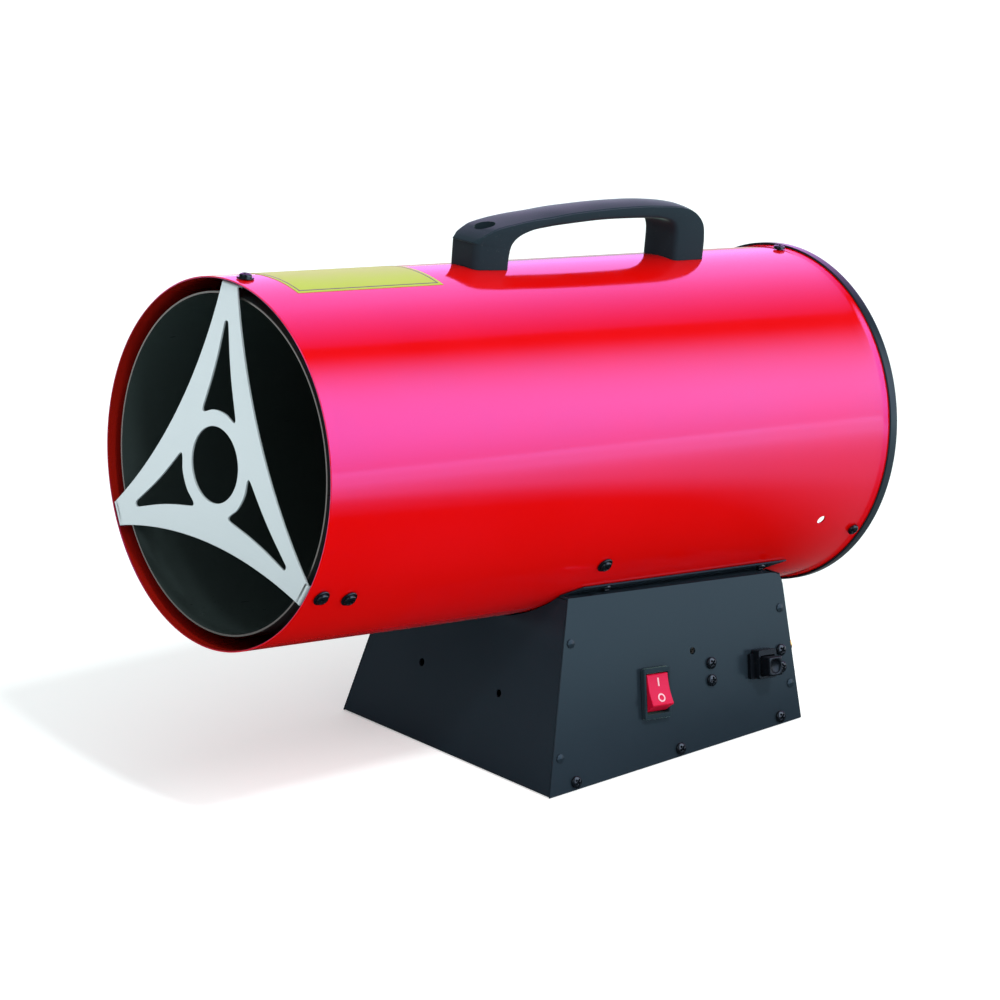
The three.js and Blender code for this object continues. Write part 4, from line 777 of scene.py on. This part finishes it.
def rearGuardPiece():
    guard = {"lip": 106.1, "skirt": 103.5, "wall": 1.1, "front": 219.7, "back": 221.0, "rows": 5, "sectors": 6,
             "first": 39, "pitch": 12.6, "slot": 7.6, "web": 7}
    lip, skirt, front, back = guard["lip"], guard["skirt"], guard["front"], guard["back"]
    bore = skirt - guard["wall"]
    rows = [[lip, 214.6], [lip + 0.5, 214.4], [lip + 1.2, 214.7]]
    rows += arc(1.4, 0, np.pi / 2, 6, lip - 0.2, back - 1.4).tolist()
    rows += [[104.2, back], [bore - 0.6, back - 0.3], [bore, back - 1.4], [bore, 204.2], [skirt, 204.2],
             [skirt, front], [lip, front]]
    rim = turnedOnBarrel(rows, 240)
    loops = [circle(0, 0, skirt - 0.5, 180)]
    for row in range(guard["rows"]):
        inner = guard["first"] + row * guard["pitch"]
        gap = math.pi / guard["sectors"] - guard["web"] / 2 / inner
        for sector in range(guard["sectors"]):
            middle = sector * 2 * math.pi / guard["sectors"]
            loops.append(slotLoop(inner, inner + guard["slot"], middle - gap, middle + gap, 14 + 4 * row))
    flat = onBarrel @ Matrix.Translation((0, front + 0.05, 0)) @ Matrix.Rotation(math.pi / 2, 4, "X")
    face = place(sheet(loops, -1.15, 0), flat)
    swell = [[29, 220.7], [30, 221.25], [31.5, 221.45], [33, 221.25], [34, 220.7], [31.5, 220.5]]
    newPiece("inletGuard", gather(rim, face, turnedOnBarrel(swell, 96)), "blackPaint",
             replaces=("rear_guard",), edge=0.2)


def handlePiece():
    # side views of the bow's upper and lower faces, along the barrel and up from its axis
    outer = [(-50.6, 100), (-50.9, 109), (-51, 119.8), (-51, 119.8), (-47.4, 122.8), (-42, 126),
             (-35.5, 128.6), (-18, 132.2), (0, 134.9), (22, 137.2), (50, 139.2), (78, 139.9), (95, 139.4),
             (110, 138), (120, 135.6), (127, 131), (131, 125.6), (132.4, 118.6), (132.5, 110), (132.2, 96)]
    inner = [(-26.2, 100), (-26.1, 109), (-25.6, 114.2), (-25.3, 115.6), (-24.2, 118.6), (-21, 121.9),
             (-15.6, 124.7), (-7.6, 126.7), (3, 127.9), (16, 129.1), (45, 130.8), (72, 130.9), (88, 130.4),
             (96, 129.7), (101.2, 128.1), (104.2, 125.3), (105.6, 121.6), (106, 116.6), (106, 109), (106, 96)]
    shape = {"rows": 160, "wide": 14.5, "front": 11.6, "corner": 4.2, "crown": 2.3, "pad": 0.35,
             "seat": barrel["radius"] + 0.15}
    count = shape["rows"]
    o, i = smoothLine(outer, count), smoothLine(inner, count)
    thick = np.linalg.norm(i - o, axis=1)[:, None]
    s = np.linspace(0, 1, count)[:, None]
    foot = np.clip(1 - (s - 0.158) / 0.06, 0, 1) + np.clip((s - 0.84) / 0.08, 0, 1) * 0.7
    crown = 0.2 + shape["crown"] * np.clip((s - 0.2) / 0.3, 0, 1)
    pad = shape["pad"] * ((s > 0.155) & (s < 0.7))
    # across the section: the pad on top, its step, the rounded edge, the side, and the edge below
    x = np.concatenate([np.linspace(0, 12.9, 14), [13.0, 13.2, 13.8, 14.25, 14.45, 14.5, 14.5, 14.25, 13.6,
                                                  12.6, 11.3, 6.0, 0.0]])
    lip = np.array([0.0] * 17 + [0.12, 0.35, 0.75] + [0.0] * 7)
    step = np.array([1.0] * 14 + [0.6] + [0.0] * 12)
    flat = np.clip(x - (shape["wide"] - shape["corner"]), 0, shape["corner"])
    plan = shape["corner"] - np.sqrt(shape["corner"] ** 2 - flat ** 2)
    bow = crown * (np.clip(x, 0, 13.8) / 13.8) ** 2.1
    depth = (1 - foot) * (bow + lip) + foot * np.maximum(plan, lip) - pad * step
    fromInner = np.array([0.0] * 20 + [3.2, 1.7, 0.85, 0.3, 0.0, 0.0, 0.0])
    share = np.where(np.arange(len(x)) < 20, depth / thick, 1 - fromInner / thick)
    yz = o[:, None, :] + share[..., None] * (i - o)[:, None, :]
    # the front end draws in towards its nose
    narrow = np.clip(1 - (s - 0.158) / 0.2, 0, 1) * np.clip(1 - share / 0.8, 0, 1)
    width = x * (1 - narrow * (1 - shape["front"] / shape["wide"]))
    side = np.concatenate([yz, yz[:, -2:0:-1]], 1)
    across = np.concatenate([width, -width[:, -2:0:-1]], 1)
    grid = np.concatenate([across[..., None], side], -1)
    seat = np.sqrt(shape["seat"] ** 2 - across ** 2)
    grid[(0, -1), :, 2] = seat[(0, -1), :]
    grid[..., 2] = np.maximum(grid[..., 2], seat)
    part = place(skin(grid), onBarrel)
    obj = newPiece("carryHandle", part, "slateMoulding", replaces=("handle",), angle=28)
    bore = turned([[0, 112.2], [6.2, 112.2], [6.2, 150], [0, 150]], 48,
                  onBarrel @ Matrix.Translation((0, -35.5, 0)))
    return carve(obj, bore)


def labelPiece():
    label = {"y": (-192, -88), "angle": (74, 106), "radius": 105.06, "line": 0.9, "inset": 2.2}

    def patch(y0, y1, a0, a1, radius, thick):
        a, y = np.meshgrid(np.radians(np.linspace(a0, a1, 40)), np.linspace(y0, y1, 8))
        low, high = (np.stack([r * np.cos(a), y, r * np.sin(a)], -1) for r in (radius, radius + thick))
        return place(skin(np.concatenate([high, low[:, ::-1]], 1)), onBarrel)

    (y0, y1), (a0, a1) = label["y"], label["angle"]
    newPiece("labelField", patch(y0, y1, a0, a1, label["radius"], 0.12), "labelYellow")
    # the border is four strips, set in from the film's edges
    inset, line = label["inset"], label["line"]
    turn = math.degrees(1 / label["radius"])
    y0, y1, a0, a1 = y0 + inset, y1 - inset, a0 + inset * turn, a1 - inset * turn
    strips = [(y0, y1, a0, a0 + line * turn), (y0, y1, a1 - line * turn, a1), (y0, y0 + line, a0, a1),
              (y1 - line, y1, a0, a1)]
    border = gather(*[patch(*strip, label["radius"] + 0.1, 0.06) for strip in strips])
    newPiece("labelBorder", border, "labelInk")


# ---- fasteners

def screwHead(radius, height, shank, length, washer=0.0):
    # a domed head whose height drops into a cross-shaped recess, over a washer where there is one
    head = {"skirt": 0.32, "recess": 0.62, "washer": 1.0}
    t = np.concatenate([np.linspace(0.02, 0.72, 18), np.linspace(0.78, 1, 7)])
    a = np.linspace(0, 2 * np.pi, 64, endpoint=False)
    rr, aa = np.meshgrid(t, a, indexing="ij")
    px, py = rr * np.cos(aa), rr * np.sin(aa)
    arm = np.minimum(np.abs(px), np.abs(py))
    reach = np.maximum(np.abs(px), np.abs(py))
    slot = 1 / (1 + np.exp((arm - 0.13) * 45)) / (1 + np.exp((reach - 0.56) * 34))
    dome = np.sqrt(np.clip(1 - (rr * 0.985) ** 2.4, 0, 1))
    lift = head["washer"] if washer else 0.0
    z = lift + height * (head["skirt"] + (1 - head["skirt"]) * dome - head["recess"] * slot)
    grid = np.stack([px * radius, py * radius, z], -1)
    under = [[radius, lift]]
    if washer:
        under += [[washer - 0.25, lift], [washer, lift - 0.25], [washer, 0.15], [washer - 0.15, 0]]
    under += [[shank, 0], [shank, -length + shank * 0.6], [0.2, -length]]
    ring = np.stack([np.cos(a), np.sin(a)], -1)
    lower = np.array([[[r * c, r * s, h] for c, s in ring] for r, h in under])
    return skin(np.concatenate([grid, lower]))


def setScrew(name, head, spot, node=None):
    newPiece(name, place(head, spot), "blackOxide", replaces=(node,) if node else ())


def spun(spot, turn):
    # so that the recesses don't all point one way
    return spot @ Matrix.Rotation(turn, 4, "Z")


leftRight = Matrix.Diagonal((-1, 1, 1, 1))


def shellScrews(washered, plain, long):
    reach = barrel["radius"] + 0.3
    for k, angle in enumerate((88.5, 208.5, 328.5)):
        spot = spun(radial(-209, angle, reach), 0.5 + k)
        setScrew(f"guardScrew{k + 1}", washered, spot, f"guard_screw_{k + 1}")
        spot = spun(radial(208, angle, reach + 0.5), 0.9 + k)
        setScrew(f"inletGuardScrew{k + 1}", plain, spot, f"rear_guard_screw_{k + 1}")
    for k, angle in enumerate((-33.5, 213.5)):
        for end, y in (("front", -188.1), ("rear", 2.0)):
            spot = spun(radial(y, angle, reach), 0.3 + k + y)
            setScrew(f"tubeScrew_{end}{k + 1}", washered, spot, f"tube_screw_{end}_{k + 1}")
    setScrew("handleScrew", long, radial(-35.5, 90, barrel["radius"] + 7.3), "handle_screw")


def baseScrews(plain, small):
    tray = (-33.8, 50.2, 134.2)
    rows = [("valve_screw", control(*buttonAt), [(17.5, -3.25), (17.5, 7.25)]),
            ("terminal_screw", control(82, 45.2), [(0, -5.25), (0, 5.25)]),
            ("tray_screw", onSide, [(u, 5) for u in tray])]
    for name, base, places in rows:
        for k, (u, v) in enumerate(places):
            spot = spun(base @ Matrix.Translation((u, v, 0.3)), 0.7 * k + u)
            setScrew(f"{name}{k + 1}Finished", plain, spot, f"{name}_{k + 1}")
    cradle = math.radians(48.5)
    out = Vector((math.cos(cradle), 0, -math.sin(cradle)))
    up = Vector((math.sin(cradle), 0, math.cos(cradle)))
    base = Matrix((Vector((0, 1, 0)), up, out)).transposed().to_4x4()
    for k in (1, 2):
        low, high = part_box(f"cradle_screw_{k}")
        along = (onBarrel.inverted() @ ((low + high) / 2 / millimetre)).y
        seat = out * (barrel["radius"] + 1.6) + up * 3.84 + Vector((0, along, 0))
        spot = onBarrel @ Matrix.Translation(seat) @ base
        setScrew(f"cradleScrew{k}", small, spot, f"cradle_screw_{k}")
        setScrew(f"cradleScrewLeft{k}", small, leftRight @ spot)
    for k, u in enumerate(tray):
        setScrew(f"trayScrewLeft{k + 1}", plain, leftRight @ onSide @ Matrix.Translation((u, 5, 0.1)))


def screws():
    washered, plain = screwHead(3.6, 2.2, 1.6, 6.8, 5.0), screwHead(3.6, 2.3, 1.6, 6.8)
    small, long = screwHead(2.6, 1.6, 1.2, 4.3), screwHead(3.6, 2.3, 1.6, 11.8)
    shellScrews(washered, plain, long)
    baseScrews(plain, small)


# ---- controls

buttonAt = (122.8, 40.3)
switchAt = (34.8, 43)


def switchPieces():
    base = control(*switchAt)
    bezel = ringSkin([(17.3, 24.3, 0.8, -12), (17.4, 24.4, 0.8, 3.0), (17.8, 24.8, 1.0, 3.5),
                      (20.0, 29.5, 0.9, 3.6), (20.7, 30.2, 1.1, 3.45), (21, 30.5, 1.2, 3.0),
                      (21, 30.5, 1.8, 0.4), (20.8, 30.3, 1.8, 0.3), (19.4, 26.4, 0.8, 0.2),
                      (19.4, 26.4, 0.8, -18.6), (18.6, 25.6, 0.8, -19)])
    tabs = [ringSkin([(4.8, 0.8, 0.3, z, 6, 0.0, y) for z in (-27, -18.6)]) for y in (-7, 0, 7)]
    # the bezel, a black moulding, is drawn in the handle's lighter slate moulding as a painted reflection of
    # the panel's blue-grey
    newPiece("switchBezel", place(gather(bezel, *tabs), base), "slateMoulding",
             replaces=("switch_body",), angle=40)

    rocker = {"wide": 16.6, "half": 11.9, "nose": 9.4, "rise": 9.5, "dip": 1.1}

    def faceHeight(y):
        return rocker["rise"] - rocker["dip"] * (1 - (y / rocker["nose"]) ** 2)

    y = np.linspace(-rocker["nose"] + 0.35, rocker["nose"] - 0.35, 26)
    face = np.stack([y, faceHeight(y)], -1)
    nose = np.array([[0.15, -0.3], [0.45, -1.1], [0.75, -2.4]]) + [rocker["nose"], rocker["rise"]]
    belly = arc(6.2, 0, -np.pi, 16)
    outline = np.concatenate([face, nose, [[rocker["half"], 0.6]], belly, [[-rocker["half"], 0.6]],
                              nose[::-1] * [-1, 1]])
    mesh = sheet([outline], -rocker["wide"] / 2, rocker["wide"] / 2)
    stand = Matrix(((0, 0, 1, 0), (1, 0, 0, 0), (0, 1, 0, 0), (0, 0, 0, 1)))
    rest = base @ Matrix.Translation((0, 0, -3)) @ Matrix.Rotation(math.radians(-15), 4, "X")
    newPiece("switchRocker", place(mesh, rest @ stand), "redMoulding", "rocker", ("switch_rocker",),
             edge=0.45)

    def raised(x, y):
        return np.stack([x, y, faceHeight(y) + 0.05], -1)

    a = np.linspace(0, 2 * np.pi, 48, endpoint=False)
    ring = np.stack([raised(r * np.cos(a), -4.9 + 0.95 * r * np.sin(a)) for r in (2.8, 1.75)])
    bar = np.stack([raised(np.full(10, x), np.linspace(2.2, 7.2, 10)) for x in (-0.6, 0.6)])
    marks = gather(skin(ring, caps=False), skin(bar, wrapColumns=False, caps=False))
    obj = newPiece("rockerMarks", place(marks, rest), "markWhite", "rocker")
    thickness = obj.modifiers.new("ink", "SOLIDIFY")
    thickness.thickness = 0.00008
    thickness.offset = 1


def buttonPieces():
    base = control(*buttonAt)
    w, h = 11.0, 11.6
    rings = [roundRing(2.4, -22.8), roundRing(2.5, -8.4)]
    rings += [roundedRing(w - inset, h - inset, corner, z) for inset, corner, z in (
        (1, 0.6, -8), (0, 0.8, -7.4), (0, 0.8, 13.2), (0.25, 0.9, 13.7), (0.9, 1.0, 14.0))]
    rings += [roundRing(4.5, 14.0), roundRing(4.3, 13.85)]
    rings += [roundRing(4.3 * math.cos(t), 13.85 - 1.5 * math.sin(t)) for t in np.linspace(0.2, 1.35, 9)]
    rings.append(roundRing(0.35, 12.34))
    newPiece("valveButton", place(skin(np.stack(rings)), base), "blackMoulding", "button",
             ("gas_button",), angle=40)
    housing = ringSkin([(11.9, 12.5, 0.8, 0.3), (11.9, 12.5, 0.8, 6.7), (12.2, 12.8, 1, 7.0),
                        (14.7, 17.3, 1.4, 7.0, 6, 0, 1), (15.1, 17.7, 1.5, 6.6, 6, 0, 1),
                        (15.1, 17.7, 1.5, 0.3, 6, 0, 1)], wrapRows=True)
    flange = [roundedRing(19.6, 15.7, 1.2, 0, x=-0.75)[:, :2], roundedRing(12, 12.6, 0.8, 0)[:, :2]]
    newPiece("valveCollar", place(gather(housing, sheet(flange, 0.3, 2.9)), base), "blackMoulding",
             replaces=("button_collar",), edge=0.3)


# ---- inside the barrel

def bladeGrid(rows, columns):
    # pitch eases from root to tip, the blade bends across its width, and its tip corners are drawn in
    fan = {"root": 13.6, "tip": 92.0, "arc": 50, "rootPitch": 40, "tipPitch": 24, "deep": 24, "thick": 1.4}
    t = np.linspace(0, 1, rows)[:, None]
    s = np.linspace(-1, 1, columns)[None, :]
    radius = fan["root"] + (fan["tip"] - fan["root"]) * t
    pitch = np.radians(fan["rootPitch"] + (fan["tipPitch"] - fan["rootPitch"]) * t)
    half = math.radians(fan["arc"]) * (0.36 + 0.22 * t - 0.08 * t ** 4)
    reach = radius - fan["tip"] * 0.06 * t * s ** 4
    angle = s * half + math.radians(8) * t * t
    along = s * half * radius * np.tan(pitch) * 0.62
    limit = fan["deep"] / 2 - fan["thick"]
    y = np.clip(along, -limit, limit) + (1 - s * s) * 2.2
    skins = []
    for face in (-1, 1):
        lift = face * fan["thick"] / 2 / np.cos(pitch) * np.clip((1 - np.abs(s)) * 6 + 0.35, 0, 1)
        skins.append(np.stack([reach * np.cos(angle), y + lift, reach * np.sin(angle)], -1))
    return np.concatenate([skins[0], skins[1][:, ::-1]], 1)


def airPieces():
    hubFront, hubRear = 134.9, 158.9
    middle = (hubFront + hubRear) / 2
    hub = turnedOnBarrel([[4.2, hubFront], [9.6, hubFront], [10.6, hubFront + 0.6], [16.2, hubFront + 4.2],
                          [17, hubFront + 5.4], [17, hubRear - 0.5], [16.5, hubRear], [4.2, hubRear]], 72)
    parts = [hub]
    blade = skin(bladeGrid(28, 26))
    for k in range(5):
        spin = onBarrel @ Matrix.Rotation(2 * math.pi * k / 5, 4, "Y") @ Matrix.Translation((0, middle, 0))
        parts.append(place(blade, spin))
    newPiece("fanWheel", gather(*parts), "castAlloy", "fan_rotor", ("fan_impeller",), angle=38)
    bands = []
    for k in range(9):
        y = 171.5 + k * 31.6 / 9
        bands += [[40, y], [40, y + 1.9], [38.8, y + 2.1], [38.8, y + 3.3]]
    body = turnedOnBarrel([[4.8, 171.1]] + bands[:-2] + [[4.8, 201.9]], 96)
    newPiece("motorCase", body, "blackPaint", replaces=("motor_body",), edge=0.15)
    softCopy("motor_front_bell", "zincPlate", 0.4)
    softCopy("motor_rear_bell", "zincPlate", 0.4)


def burnerPieces():
    back, wall = 56.0, 1.2
    mouth = back - 55
    rows = [[8, back], [8, back - wall], [27.5, back - wall], [28.8, back - wall - 0.4]]
    rows += [[28.8 + 16 * t, back - wall - 0.4 - (54 - wall) * t] for t in np.linspace(0.04, 0.97, 16)]
    rows += [[44.8, mouth + 0.3], [45.4, mouth], [46, mouth + 0.3]]
    rows += [[46 - 16 * t, mouth + 0.3 + 54 * t] for t in np.linspace(0.03, 1, 16)]
    rows += [[29.4, back]]
    cup = newPiece("flameCup", turnedOnBarrel(rows, 120), "tubeSteel", replaces=("burner_cup",))
    tools = []
    for k in range(6):
        y = back - 55 * (0.3 if k % 2 else 0.62)
        tools.append(turned([[0, 15], [4, 15], [4, 48], [0, 48]], 24, radial(y, 60 * k, 0)))
    carve(cup, *tools)
    softCopy("burner_plate", "tubeSteel", 0.3)


def onRearAt(node):
    low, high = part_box(node)
    centre = (low + high) / 2 / millimetre
    return onRear @ Matrix.Translation((-centre.x, centre.z, 0))


def rearFittings():
    thread = []
    for z in 7.4 + 1.2 * np.arange(10):
        thread += [[5.15, z], [5.7, z + 0.45], [5.7, z + 0.6]]
    rows = [[0, -12], [5.5, -12], [5.7, -11.6], [5.7, -4.1], [8.5, -4.1], [8.5, -1.35], [6.4, -1.35],
            [6.4, 0.35], [6.4, 5.9]] + thread
    rows += [[5.6, 19.6], [5.2, 20], [3.4, 20], [2.1, 16], [2.1, 8.2], [0, 8.0]]
    nut = [(8.9, 0.35), (9.4, 0.7), (9.4, 5.5), (8.8, 6.0)]
    nut = skin(np.stack([np.c_[circle(0, 0, r, 6), np.full(6, z)] for r, z in nut]))
    fitting = gather(turned(rows, 48), nut)
    newPiece("gasInletFinished", place(fitting, onRearAt("gas_inlet")), "turnedBrass",
             replaces=("gas_inlet",), edge=0.1)
    rows = [[4, -9], [6.8, -9], [7, -8.7], [7, 0.35]]
    rows += [[9.9 - 0.35 * (k % 2), 0.5 + k * 0.42] for k in range(9)]
    rows += [[9.7, 4.6], [8.6, 9], [7.2, 14.4], [6.7, 15], [4.4, 15], [4, 14.5]]
    newPiece("cordGland", turned(rows, 48, onRearAt("cable_gland")), "blackMoulding",
             replaces=("cable_gland",))


shellPiece()
tubePiece()
guardPiece()
rearGuardPiece()
handlePiece()
labelPiece()
print("barrel ready")
screws()
print("fasteners ready")
for node in ("base_plate", "front_panel", "rear_panel", "control_panel", "left_panel"):
    softCopy(node, "blackPaint", 0.3)
switchPieces()
buttonPieces()
rearFittings()
print("base and controls ready")
airPieces()
burnerPieces()
carried = {
    "gas_nozzle": "turnedBrass", "nozzle_holder": "zincPlate", "igniter_ceramic": "alumina",
    "igniter_rod": "zincPlate", "flame_sensor": "drawnCopper", "overheat_switch": "blackMoulding",
    "gas_pipe": "drawnCopper", "motor_shaft": "zincPlate", "fan_nut": "zincPlate", "gas_valve": "castAlloy",
    "terminal_block": "whiteNylon", "ignition_module": "blackMoulding",
}
for node, finish in carried.items():
    paint(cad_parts[node].data, finish)
print("inner pieces ready")
